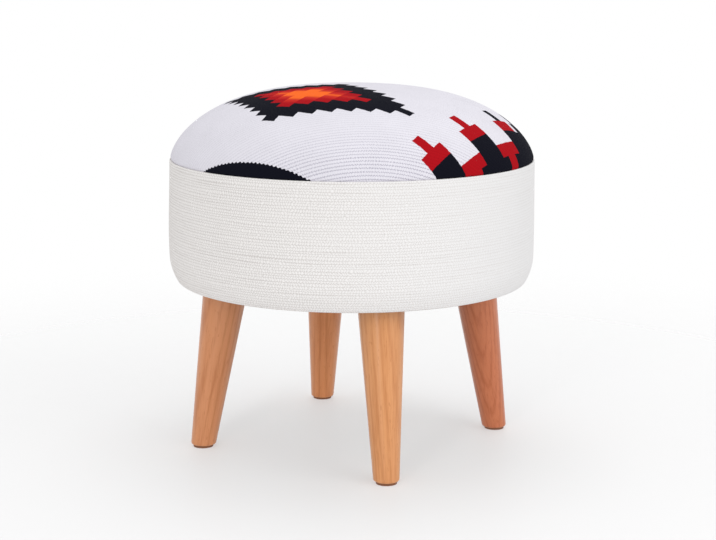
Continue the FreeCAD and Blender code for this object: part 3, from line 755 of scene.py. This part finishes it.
def disc_faces(rings, upwards=True):
    """Triangles of an even disc."""
    def point(ring, step):
        return ring_start(ring) + (step % (SECTORS * ring) if ring else 0)

    faces = []
    for ring in range(1, rings + 1):
        for sector in range(SECTORS):
            for step in range(ring):
                first = point(ring, sector * ring + step)
                second = point(ring, sector * ring + step + 1)
                inner = point(ring - 1, sector * (ring - 1) + step)
                faces.append((first, second, inner))
                if step < ring - 1:
                    faces.append((second, point(ring - 1, sector * (ring - 1) + step + 1), inner))
    return faces if upwards else [face[::-1] for face in faces]


def disc_points(radii, heights):
    """Points of an even disc, ring by ring, from a profile that starts on the axis."""
    points = [(0.0, 0.0, heights[0])]
    for ring in range(1, len(radii)):
        points += circle(radii[ring], heights[ring], SECTORS * ring)
    return points


def strip_faces(start, count, rows, upwards=False):
    """Quads between rings of equal count that follow one another, down or upwards, from a first point."""
    faces = []
    for low in range(start, start + (rows - 1) * count, count):
        for step in range(count):
            after = (step + 1) % count
            first, second, third, fourth = low + step, low + count + step, low + count + after, low + after
            faces.append((first, fourth, third, second) if upwards else (first, second, third, fourth))
    return faces


def arc(middle, radius, first, last, steps):
    """Points of an arc in the plane of radius and height, angles in degrees, without its first point."""
    for turn in np.radians(np.linspace(first, last, steps + 1))[1:]:
        yield middle[0] + radius * math.cos(turn), middle[1] + radius * math.sin(turn)


SWELL_PRESSURE = 12.0
SWELL_STIFFNESS = 60
SWELL_BENDING = 4
SWELL_FRAMES = 20
MOST_SWELL = 0.0015
SMALLEST = 1e-9


def inflate(piece, held):
    """Lets the cloth swell and settle, held at some of its points and kept from moving too far."""
    group = piece.vertex_groups.new(name="held")
    group.add(held, 1.0, "REPLACE")
    cloth = piece.modifiers.new("swell", "CLOTH")
    cloth.settings.vertex_group_mass = group.name
    cloth.settings.use_pressure = True
    cloth.settings.uniform_pressure_force = SWELL_PRESSURE
    cloth.settings.tension_stiffness = SWELL_STIFFNESS
    cloth.settings.compression_stiffness = SWELL_STIFFNESS
    cloth.settings.bending_stiffness = SWELL_BENDING
    cloth.settings.effector_weights.gravity = 0
    scene = bpy.context.scene
    before = np.array([vertex.co for vertex in piece.data.vertices])
    for number in range(1, SWELL_FRAMES + 1):
        scene.frame_set(number)
    swollen = piece.evaluated_get(bpy.context.evaluated_depsgraph_get()).data
    after = np.array([vertex.co for vertex in swollen.vertices])
    piece.modifiers.remove(cloth)
    piece.vertex_groups.remove(group)
    scene.frame_set(1)
    moved = after - before
    far = np.linalg.norm(moved, axis=1, keepdims=True)
    kept = before + moved * np.minimum(1, MOST_SWELL / np.maximum(far, SMALLEST))
    piece.data.vertices.foreach_set("co", kept.ravel())
    piece.data.update()


# Above 1, the band is fullest below its middle
FULLNESS_POWER = 1.5


def band_fullness(height):
    """Share of the band's swell at a height: none at the seam and the lower edge."""
    down = np.clip((SEAM_Z - np.asarray(height)) / (SEAM_Z - LOW_Z), 0, 1)
    return np.sin(math.pi * down ** FULLNESS_POWER)


# Operators


class PoufOperator:
    """What the operators share: they need a scene with the pouf's properties."""
    bl_options = {"REGISTER", "UNDO"}

    @classmethod
    def poll(cls, context):
        return hasattr(context.scene, "pouf_sizes")


# Where each soft lamp stands, how wide it is and how high
LAMPS = {
    "key": ((1.5, -1.65, 0.9), 1.6, 1.6),
    "fill": ((-1.35, -1.95, 0.7), 0.3, 1.5),
    "top": ((0.2, 0.5, 2.1), 1.2, 1.2),
}
FLOOR_SIDES = 64


class POUF_OT_stage(PoufOperator, bpy.types.Operator):
    """Pale floor that fades into white, soft lamps and the camera"""
    bl_idname = "pouf.stage"
    bl_label = "Stage"

    def execute(self, context):
        scene = context.scene
        stage = scene.pouf_stage
        scene.view_settings.view_transform = "Standard"
        self.world(scene, stage)
        self.floor(stage, scene.pouf_colours)
        self.camera(scene, stage)
        for name, (spot, wide, high) in LAMPS.items():
            self.lamp(scene, f"{name}_lamp", getattr(stage, f"{name}_power"), spot, wide, high)
        return {"FINISHED"}

    def world(self, scene, stage):
        """White where it is seen, and a lower, even light on the object."""
        scene.world = bpy.data.worlds.new("studio")
        scene.world.use_nodes = True
        wiring = Wiring(scene.world.node_tree)
        rays = wiring.outputs("ShaderNodeLightPath")
        seen = wiring.most(rays["Is Camera Ray"], rays["Is Glossy Ray"], rays["Is Transmission Ray"])
        background = scene.world.node_tree.nodes["Background"].inputs
        wiring.feed(background["Color"], (1, 1, 1, 1))
        wiring.feed(background["Strength"], seen * (1 - stage.sky_level) + stage.sky_level)

    def floor(self, stage, colours):
        finish = Finish("pale_floor", base_color=colours.floor, roughness=0.5, specular_ior_level=0.2)
        far = finish.vector("LENGTH", {0: finish.place()}, output="Value")
        whole = finish.ramp(far, stage.floor_solid, stage.floor_fade, stage.floor_share, to_high=0.0)
        behind = finish.add("ShaderNodeNewGeometry", output="Backfacing")
        finish.paint(alpha=whole * (1.0 - behind))
        rim = circle(stage.floor_radius, 0.0, FLOOR_SIDES)
        new_piece("pale_floor", rim, [tuple(range(len(rim)))], finish.material, smooth=False)

    def camera(self, scene, stage):
        lens = bpy.data.cameras.new("front_camera")
        lens.lens = stage.focal_length
        lens.sensor_width = stage.sensor_width
        holder = bpy.data.objects.new("front_camera", lens)
        holder.location = (-stage.camera_distance * math.sin(stage.camera_bearing),
                           -stage.camera_distance * math.cos(stage.camera_bearing), stage.camera_height)
        level = math.cos(stage.camera_pitch)
        ahead = Vector((math.sin(stage.camera_heading) * level, math.cos(stage.camera_heading) * level,
                        -math.sin(stage.camera_pitch)))
        holder.rotation_mode = "QUATERNION"
        roll = Quaternion((0, 0, 1), stage.camera_roll)
        holder.rotation_quaternion = ahead.to_track_quat("-Z", "Y") @ roll
        scene.collection.objects.link(holder)
        scene.camera = holder

    def lamp(self, scene, name, power, spot, wide, high):
        """A soft lamp that faces the middle of the drum."""
        lamp = bpy.data.lights.new(name, "AREA")
        lamp.energy = power
        lamp.shape = "RECTANGLE"
        lamp.size = wide
        lamp.size_y = high
        holder = bpy.data.objects.new(name, lamp)
        holder.location = spot
        aim = Vector((0, 0, (LOW_Z + SEAM_Z) / 2)) - Vector(spot)
        holder.rotation_euler = aim.to_track_quat("-Z", "Y").to_euler()
        scene.collection.objects.link(holder)


COVER_RINGS = 64
# Outer share of the cover that has finer rows, and their number
EDGE_SHARE = 0.045
EDGE_ROWS = 12
# Points of the cover's turned-in edge: shares of the seam's roll inwards, and of its tuck down
COVER_TUCK = ((0.5, 0.25), (0.75, 0.6), (1.0, 1.0))


class POUF_OT_kilim_top(PoufOperator, bpy.types.Operator):
    """Domed kilim cover, swollen by its filling and tucked in behind the band's rolled edge"""
    bl_idname = "pouf.kilim_top"
    bl_label = "Kilim top"

    def execute(self, context):
        scene = context.scene
        sizes = scene.pouf_sizes
        shares = np.concatenate([np.linspace(0, 1 - EDGE_SHARE, COVER_RINGS + 1),
                                 np.linspace(1 - EDGE_SHARE, 1, EDGE_ROWS + 1)[1:]])
        radii, heights, reach = dome_profile(sizes, 0.0, shares)
        edge = list(zip(radii, heights))[COVER_RINGS + 1:]
        edge += [(radii[-1] - inwards * sizes.seam_roll, SEAM_Z - down * sizes.seam_tuck)
                 for inwards, down in COVER_TUCK]
        count = SECTORS * COVER_RINGS
        points = disc_points(radii[:COVER_RINGS + 1], heights[:COVER_RINGS + 1])
        for radius, height in edge:
            points += circle(radius, height, count)
        first = ring_start(COVER_RINGS)
        faces = disc_faces(COVER_RINGS) + strip_faces(first, count, len(edge) + 1)
        piece = new_piece("kilim_top", points, faces, kilim_cloth(scene.pouf_colours, scene.pouf_kilim))
        tucked = reach[-1] + sizes.seam_tuck * np.array([down for inwards, down in COVER_TUCK])
        lay_flat(piece, self.flat_places(np.concatenate([reach, tucked])))
        inflate(piece, list(range(first, len(points))))
        thicken(piece, sizes.cover_thick)
        settle(piece, "seat", "kilim_cloth", "top_cover")
        cut = 2 * tucked[-1]
        area = math.pi * cut * cut / 4
        return {"FINISHED"}

    def flat_places(self, reach):
        """Each ring of the cover as a circle on the flat cloth."""
        places = []
        for number, far in enumerate(reach):
            count = max(1, SECTORS * min(number, COVER_RINGS))
            places += [spot[:2] for spot in circle(far, 0.0, count)]
        return places


BAND_STEPS = 480
BAND_JOINT = math.radians(90)
# The band's ends near their joint: distance from it, and share of the tuck that the cloth is turned in there
JOINT_FOLD = ((0.0001, 1.0), (0.0002, 0.4), (0.0004, 0.15), (0.001, 1 / 30))
JOINT_REACH = 0.0025
# Steps along each stretch of the band's profile
TUCK_ROWS = 3
ROLL_STEPS = 8
SIDE_ROWS = 24
SWEEP_STEPS = 10
HEM_ROWS = 9


class POUF_OT_woven_band(PoufOperator, bpy.types.Operator):
    """Band of coarse cloth round the drum, rolled at the seam, sewn at the back and hemmed underneath"""
    bl_idname = "pouf.woven_band"
    bl_label = "Woven band"

    def execute(self, context):
        sizes = context.scene.pouf_sizes
        path = self.path(sizes)
        columns = self.columns(sizes)
        points, faces = self.strip(sizes, path, columns)
        piece = new_piece("woven_band", points, faces, band_cloth(context.scene.pouf_colours))
        far = np.concatenate([[0], np.cumsum([math.dist(a, b) for a, b in zip(path, path[1:])])])
        lay_flat(piece, [(turn * SEAM_RADIUS, -reach) for turn, depth in columns for reach in far])
        thicken(piece, sizes.band_thick)
        settle(piece, "seat", "band_cloth", "side_band")
        return {"FINISHED"}

    def path(self, sizes):
        """Radii and heights of the band's face from its turned-in upper edge down to the hem."""
        roll, lean = sizes.seam_roll, math.degrees(sizes.edge_lean)
        top = (SEAM_RADIUS - roll, SEAM_Z - roll)
        sweep_z = LOW_Z + sizes.edge_sweep * math.sin(sizes.edge_lean)
        sweep_z += sizes.edge_roll * (1 - math.sin(sizes.edge_lean))
        path = [(SEAM_RADIUS - 2 * roll, top[1] - share * sizes.seam_tuck)
                for share in np.linspace(1, 0, TUCK_ROWS)]
        path += arc(top, roll, 180, 0, ROLL_STEPS)
        path += [(SEAM_RADIUS, height) for height in np.linspace(top[1], sweep_z, SIDE_ROWS)[1:]]
        path += arc((SEAM_RADIUS - sizes.edge_sweep, sweep_z), sizes.edge_sweep, 0, -lean, SWEEP_STEPS)
        path += arc((WALL_RADIUS, LOW_Z + sizes.edge_roll), sizes.edge_roll, -lean, -90, ROLL_STEPS)
        hem = np.linspace(WALL_RADIUS, WALL_RADIUS - sizes.hem_width, HEM_ROWS)[1:]
        return path + [(radius, LOW_Z) for radius in hem]

    def columns(self, sizes):
        """Turns round the drum, with how far the cloth is turned in there to be sewn to its other end."""
        near = [(reach / SEAM_RADIUS, share * sizes.seam_tuck) for reach, share in JOINT_FOLD]
        first = JOINT_REACH / SEAM_RADIUS
        round_it = [(turn, 0.0) for turn in np.linspace(first, FULL_TURN - first, BAND_STEPS)]
        return near + round_it + [(FULL_TURN - turn, depth) for turn, depth in near[::-1]]

    def strip(self, sizes, path, columns):
        """Points and faces of the band, swollen by its padding and turned in where it is sewn."""
        profile = np.array(path)
        swell = sizes.band_swell * band_fullness(profile[:, 1])
        along = np.gradient(profile, axis=0)
        inwards = np.stack([-abs(along[:, 1]), -along[:, 0]], axis=1)
        inwards /= np.linalg.norm(along, axis=1, keepdims=True)
        points = []
        for turn, depth in columns:
            across = (math.cos(BAND_JOINT + turn), math.sin(BAND_JOINT + turn))
            spots = profile + depth * inwards
            spots[:, 0] += swell * (1 + sizes.band_uneven * (1 - across[0]) / 2)
            points += [(radius * across[0], radius * across[1], height) for radius, height in spots]
        rows = len(path)
        faces = []
        for low in range(0, rows * (len(columns) - 1), rows):
            faces += [(low + row, low + row + 1, low + rows + row + 1, low + rows + row)
                      for row in range(rows - 1)]
        return points, faces


TURN_STEPS = 192
DOME_ROWS = 41
SHOULDER_FROM = 60
SHOULDER_STEPS = 5
PADDING_ROWS = 8
PADDING_STEPS = 6
ON_AXIS = 1e-6


class POUF_OT_stuffing(PoufOperator, bpy.types.Operator):
    """Wadding and foam under the cover, and the padding round the wall"""
    bl_idname = "pouf.stuffing"
    bl_label = "Stuffing"

    def execute(self, context):
        sizes = context.scene.pouf_sizes
        colours = context.scene.pouf_colours
        fluff = fibre_cloth("wadding", colours.wadding, strand=0.6, depth=0.002)
        foam = fibre_cloth("foam", colours.foam, strand=1.5, depth=0.0006)
        upper = sizes.cover_thick + sizes.layer_gap
        lower = upper + sizes.wadding_thick
        side = SEAM_RADIUS - sizes.band_thick - sizes.layer_gap
        outline = self.dome(sizes, upper) + self.dome(sizes, lower)[::-1]
        wadding = self.turned("crown_wadding", outline, fluff)
        settle(wadding, "seat", "wadding", "top_wadding")
        cushion = self.turned("foam_cushion", self.block(sizes, lower + sizes.layer_gap, side), foam)
        settle(cushion, "seat", "foam", "seat_foam")
        padding = self.turned("side_wadding", self.padding(sizes, side), fluff, closed=True)
        settle(padding, "seat", "wadding", "side_padding")
        return {"FINISHED"}

    def dome(self, sizes, depth):
        radii, heights, reach = dome_profile(sizes, depth, np.linspace(0, 1, DOME_ROWS))
        return list(zip(radii, np.maximum(heights, SEAM_Z - sizes.seam_tuck)))

    def block(self, sizes, depth, side):
        """Outline of the foam, from the top of its dome to the middle of the deck."""
        outline = self.dome(sizes, depth) + [(side - 2 * sizes.seam_roll, SEAM_Z - sizes.seam_tuck)]
        shoulder = (side - sizes.foam_round, SEAM_Z - sizes.foam_drop)
        outline += arc(shoulder, sizes.foam_round, SHOULDER_FROM, 0, SHOULDER_STEPS)
        return outline + [(side, DECK_TOP_Z + sizes.pad_edge), (side - sizes.pad_edge, DECK_TOP_Z),
                          (0.0, DECK_TOP_Z)]

    def padding(self, sizes, side):
        """Closed outline of the padding between the wall and the band."""
        inner = WALL_RADIUS + sizes.layer_gap
        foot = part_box("side_padding")[0].z
        reach = sizes.edge_sweep - sizes.band_thick - sizes.layer_gap
        sweep_z = foot + reach * math.sin(sizes.edge_lean)
        outline = [(inner, foot), (inner, DECK_TOP_Z), (side - sizes.pad_edge, DECK_TOP_Z),
                   (side, DECK_TOP_Z - sizes.pad_edge)]
        face = [(side, height) for height in np.linspace(DECK_TOP_Z - sizes.pad_drop, sweep_z, PADDING_ROWS)]
        face += arc((side - reach, sweep_z), reach, 0, -math.degrees(sizes.edge_lean), PADDING_STEPS)
        return outline + [(radius + sizes.band_swell * band_fullness(height), height)
                          for radius, height in face]

    def turned(self, name, outline, material, closed=False):
        """A solid turned about the drum's axis, from an outline that starts and ends on it or is closed."""
        points, rings = [], []
        for radius, height in outline:
            start = len(points)
            if radius < ON_AXIS:
                rings.append([start] * TURN_STEPS)
                points.append((0.0, 0.0, height))
            else:
                rings.append(list(range(start, start + TURN_STEPS)))
                points += circle(radius, height, TURN_STEPS)
        faces = []
        for upper, lower in zip(rings, rings[1:] + rings[:1] if closed else rings[1:]):
            for step in range(TURN_STEPS):
                after = (step + 1) % TURN_STEPS
                corners = (upper[step], lower[step], lower[after], upper[after])
                faces.append(tuple(dict.fromkeys(corners)))
        return new_piece(name, points, faces, material)


DUST_RINGS = 90
# Ripples along the dust cloth's edge, and the outer share of it that has them
RIPPLES = 16
RIPPLE_SHARE = 0.25
# A bolt's hole: share of it that is cut out, and how far outside it points are drawn to its rim
HOLE_CUT = 0.8
HOLE_DRAW = 0.0012


class POUF_OT_dust_sheet(PoufOperator, bpy.types.Operator):
    """Black spun cloth under the base board, stapled over the hem"""
    bl_idname = "pouf.dust_sheet"
    bl_label = "Dust sheet"

    def execute(self, context):
        sizes = context.scene.pouf_sizes
        radii = np.linspace(0, DUST_RADIUS, DUST_RINGS + 1)
        hem = WALL_RADIUS - sizes.hem_width
        step_down = np.clip((radii - hem + sizes.hem_step) / sizes.hem_step, 0, 1)
        heights = BASE_Z - sizes.dust_thick - sizes.band_thick * step_down
        points = np.array(disc_points(radii, heights))
        turn = np.arctan2(points[:, 1], points[:, 0])
        inside = 1 - np.hypot(points[:, 0], points[:, 1]) / DUST_RADIUS
        points[:, 2] += sizes.dust_ripple * np.sin(RIPPLES * turn) * np.clip(1 - inside / RIPPLE_SHARE, 0, 1)
        points, faces = self.pierce(sizes, points, disc_faces(DUST_RINGS, upwards=False))
        spun = fibre_cloth("dust_cloth", context.scene.pouf_colours.dust_cloth, strand=1.2, depth=0.0004)
        piece = new_piece("dust_sheet", points, faces, spun)
        thicken(piece, sizes.dust_thick)
        settle(piece, "seat", "dust_cloth", "dust_cover")
        return {"FINISHED"}

    def pierce(self, sizes, points, faces):
        """Round holes where the bolts come through."""
        hole = BOLT_RADIUS + sizes.bolt_room
        for station in np.radians(list(STATIONS.values())):
            spot = np.array([BOLT_X * math.cos(station), BOLT_X * math.sin(station)])
            away = points[:, :2] - spot
            far = np.linalg.norm(away, axis=1)
            faces = [face for face in faces if min(far[corner] for corner in face) > HOLE_CUT * hole]
            rim = (far < hole + HOLE_DRAW) & (far > HOLE_CUT * hole)
            points[rim, :2] = spot + away[rim] * (hole / far[rim])[:, None]
        used = sorted({corner for face in faces for corner in face})
        number = {old: new for new, old in enumerate(used)}
        return points[used], [tuple(number[corner] for corner in face) for face in faces]


BOLT_STEPS = 28
# Wood thread: one row to the next, where it ends below the leg's top, and its point
SCREW_ROW = 0.0005
SCREW_END = 0.004
POINT_LONG = 0.006
POINT_SHARE = 0.35
# Machine thread: rows to a turn, where it starts below the leg's top, and its narrowed upper end
THREAD_ROWS = 6
THREAD_START = 0.003
END_LONG = 0.004
END_SHARE = 0.75


class POUF_OT_hanger_bolts(PoufOperator, bpy.types.Operator):
    """Bolts with a machine thread above the leg and a wood thread in it"""
    bl_idname = "pouf.hanger_bolts"
    bl_label = "Hanger bolts"

    def execute(self, context):
        zinc = context.scene.pouf_colours.zinc
        steel = hard_finish("bolt_steel", zinc, roughness=0.28, scratch_depth=0.00005, metallic=1.0)
        outline = self.outline(context.scene.pouf_sizes)
        for place, station in STATIONS.items():
            turn = math.radians(station)
            points, faces = self.threaded(outline, BOLT_X * math.cos(turn), BOLT_X * math.sin(turn))
            piece = new_piece(f"threaded_bolt_{place}", points, faces, steel)
            settle(piece, f"leg_{place}", "zinc_steel", f"hanger_bolt_{place}")
        return {"FINISHED"}

    def outline(self, sizes):
        """Heights up the bolt with the crest radius, thread depth and thread pitch there."""
        leg_top = LEG_HIGH.z
        rows = []
        for height in np.arange(BOLT_LOW.z + SCREW_ROW, leg_top - SCREW_END, SCREW_ROW):
            taper = POINT_SHARE + (1 - POINT_SHARE) * min(1.0, (height - BOLT_LOW.z) / POINT_LONG)
            rows.append((height, BOLT_RADIUS * taper, sizes.screw_depth, sizes.screw_pitch))
        for height in np.arange(leg_top - THREAD_START, BOLT_HIGH.z, sizes.thread_pitch / THREAD_ROWS):
            taper = min(1.0, END_SHARE + (BOLT_HIGH.z - height) / END_LONG)
            rows.append((height, BOLT_RADIUS * taper, sizes.thread_depth, sizes.thread_pitch))
        return rows

    def threaded(self, rows, x, y):
        """Points and faces of a closed bolt that stands there."""
        points = []
        for height, crest, depth, pitch in rows:
            for share in np.arange(BOLT_STEPS) / BOLT_STEPS:
                phase = (height / pitch - share) % 1
                radius = crest - depth * abs(2 * phase - 1)
                turn = FULL_TURN * share
                points.append((x + radius * math.cos(turn), y + radius * math.sin(turn), height))
        faces = strip_faces(0, BOLT_STEPS, len(rows), upwards=True)
        faces.append(tuple(range(BOLT_STEPS))[::-1])
        faces.append(tuple(range(len(points) - BOLT_STEPS, len(points))))
        return points, faces


# Wood of each leg: pitch of its rings, where its heart lies, and its lean in degrees
LEG_FIGURES = {
    "front": (0.007, (0.03, 0.05, 0), 0),
    "right": (0.005, (0.01, 0.03, 0.3), 5),
    "back": (0.007, (0.04, 0.03, 0.6), 0),
    "left": (0.006, (0.05, 0.02, 0.9), 0),
}


class POUF_OT_legs(PoufOperator, bpy.types.Operator):
    """Lacquered beech on the four legs, each with its own tone and figure"""
    bl_idname = "pouf.legs"
    bl_label = "Legs"

    def execute(self, context):
        for place, (ring_pitch, heart, lean) in LEG_FIGURES.items():
            tone = getattr(context.scene.pouf_colours, f"wood_{place}")
            wood = leg_wood(place, tone, ring_pitch, heart, (math.radians(lean), 0, 0))
            dress(wood, f"leg_{place}")
        return {"FINISHED"}


class POUF_OT_drum(PoufOperator, bpy.types.Operator):
    """Plywood boards, softwood posts and the hardboard wall inside the drum"""
    bl_idname = "pouf.drum"
    bl_label = "Drum"

    def execute(self, context):
        colours = context.scene.pouf_colours
        lying, upright = (math.pi / 2, 0, 0), (0, 0, 0)
        plywood = board_wood("plywood", colours.plywood, lying, ring_pitch=0.018, figure=0.05)
        softwood = board_wood("post_wood", colours.post_wood, upright, ring_pitch=0.006, figure=0.012)
        hardboard = board_wood("wall_board", colours.wall_board, lying, ring_pitch=0.03, figure=0.06)
        dress(plywood, "seat_deck", "base_board")
        dress(softwood, *(f"post_{place}" for place in POST_PLACES))
        dress(hardboard, "drum_wall")
        return {"FINISHED"}


class POUF_OT_fasteners(PoufOperator, bpy.types.Operator):
    """Zinc plate on the screws, staples, nuts, washers and nails"""
    bl_idname = "pouf.fasteners"
    bl_label = "Fasteners"

    def execute(self, context):
        tone = context.scene.pouf_colours.zinc
        zinc = hard_finish("zinc_steel", tone, roughness=0.3, scratch_depth=0.00005, metallic=1.0)
        dress(zinc, "deck_screws", "base_screws", "wall_staples_upper", "wall_staples_lower", "hem_staples",
              "dust_staples")
        for kind in ("tee_nut", "washer", "glide_nail"):
            dress(zinc, *(f"{kind}_{place}" for place in STATIONS))
        return {"FINISHED"}


class POUF_OT_glides(PoufOperator, bpy.types.Operator):
    """Brown plastic on the glide pads"""
    bl_idname = "pouf.glides"
    bl_label = "Glides"

    def execute(self, context):
        tone = context.scene.pouf_colours.glide
        plastic = hard_finish("glide_plastic", tone, roughness=0.45, scratch_depth=0.0001,
                              specular_ior_level=0.4)
        dress(plastic, *(f"glide_pad_{place}" for place in STATIONS))
        return {"FINISHED"}


STEPS = (POUF_OT_stage, POUF_OT_kilim_top, POUF_OT_woven_band, POUF_OT_stuffing, POUF_OT_dust_sheet,
         POUF_OT_hanger_bolts, POUF_OT_legs, POUF_OT_drum, POUF_OT_fasteners, POUF_OT_glides)


class POUF_PT_sidebar(bpy.types.Panel):
    """Lists the steps that dress the pouf"""
    bl_idname = "POUF_PT_sidebar"
    bl_label = "Pouf"
    bl_space_type = "VIEW_3D"
    bl_region_type = "UI"
    bl_category = "Pouf"

    def draw(self, context):
        for step in STEPS:
            self.layout.operator(step.bl_idname)


GROUPS = {"pouf_sizes": PoufSizes, "pouf_kilim": KilimPattern, "pouf_colours": PoufColours,
          "pouf_stage": StageSettings}


def register():
    for name, group in GROUPS.items():
        bpy.utils.register_class(group)
        setattr(bpy.types.Scene, name, PointerProperty(type=group))
    for kind in STEPS + (POUF_PT_sidebar,):
        bpy.utils.register_class(kind)


def unregister():
    for kind in (POUF_PT_sidebar,) + STEPS[::-1]:
        bpy.utils.unregister_class(kind)
    for name, group in GROUPS.items():
        delattr(bpy.types.Scene, name)
        bpy.utils.unregister_class(group)


def main():
    register()
    for step in STEPS:
        getattr(bpy.ops.pouf, step.bl_idname.split(".")[1])()


if __name__ == "__main__":
    main()
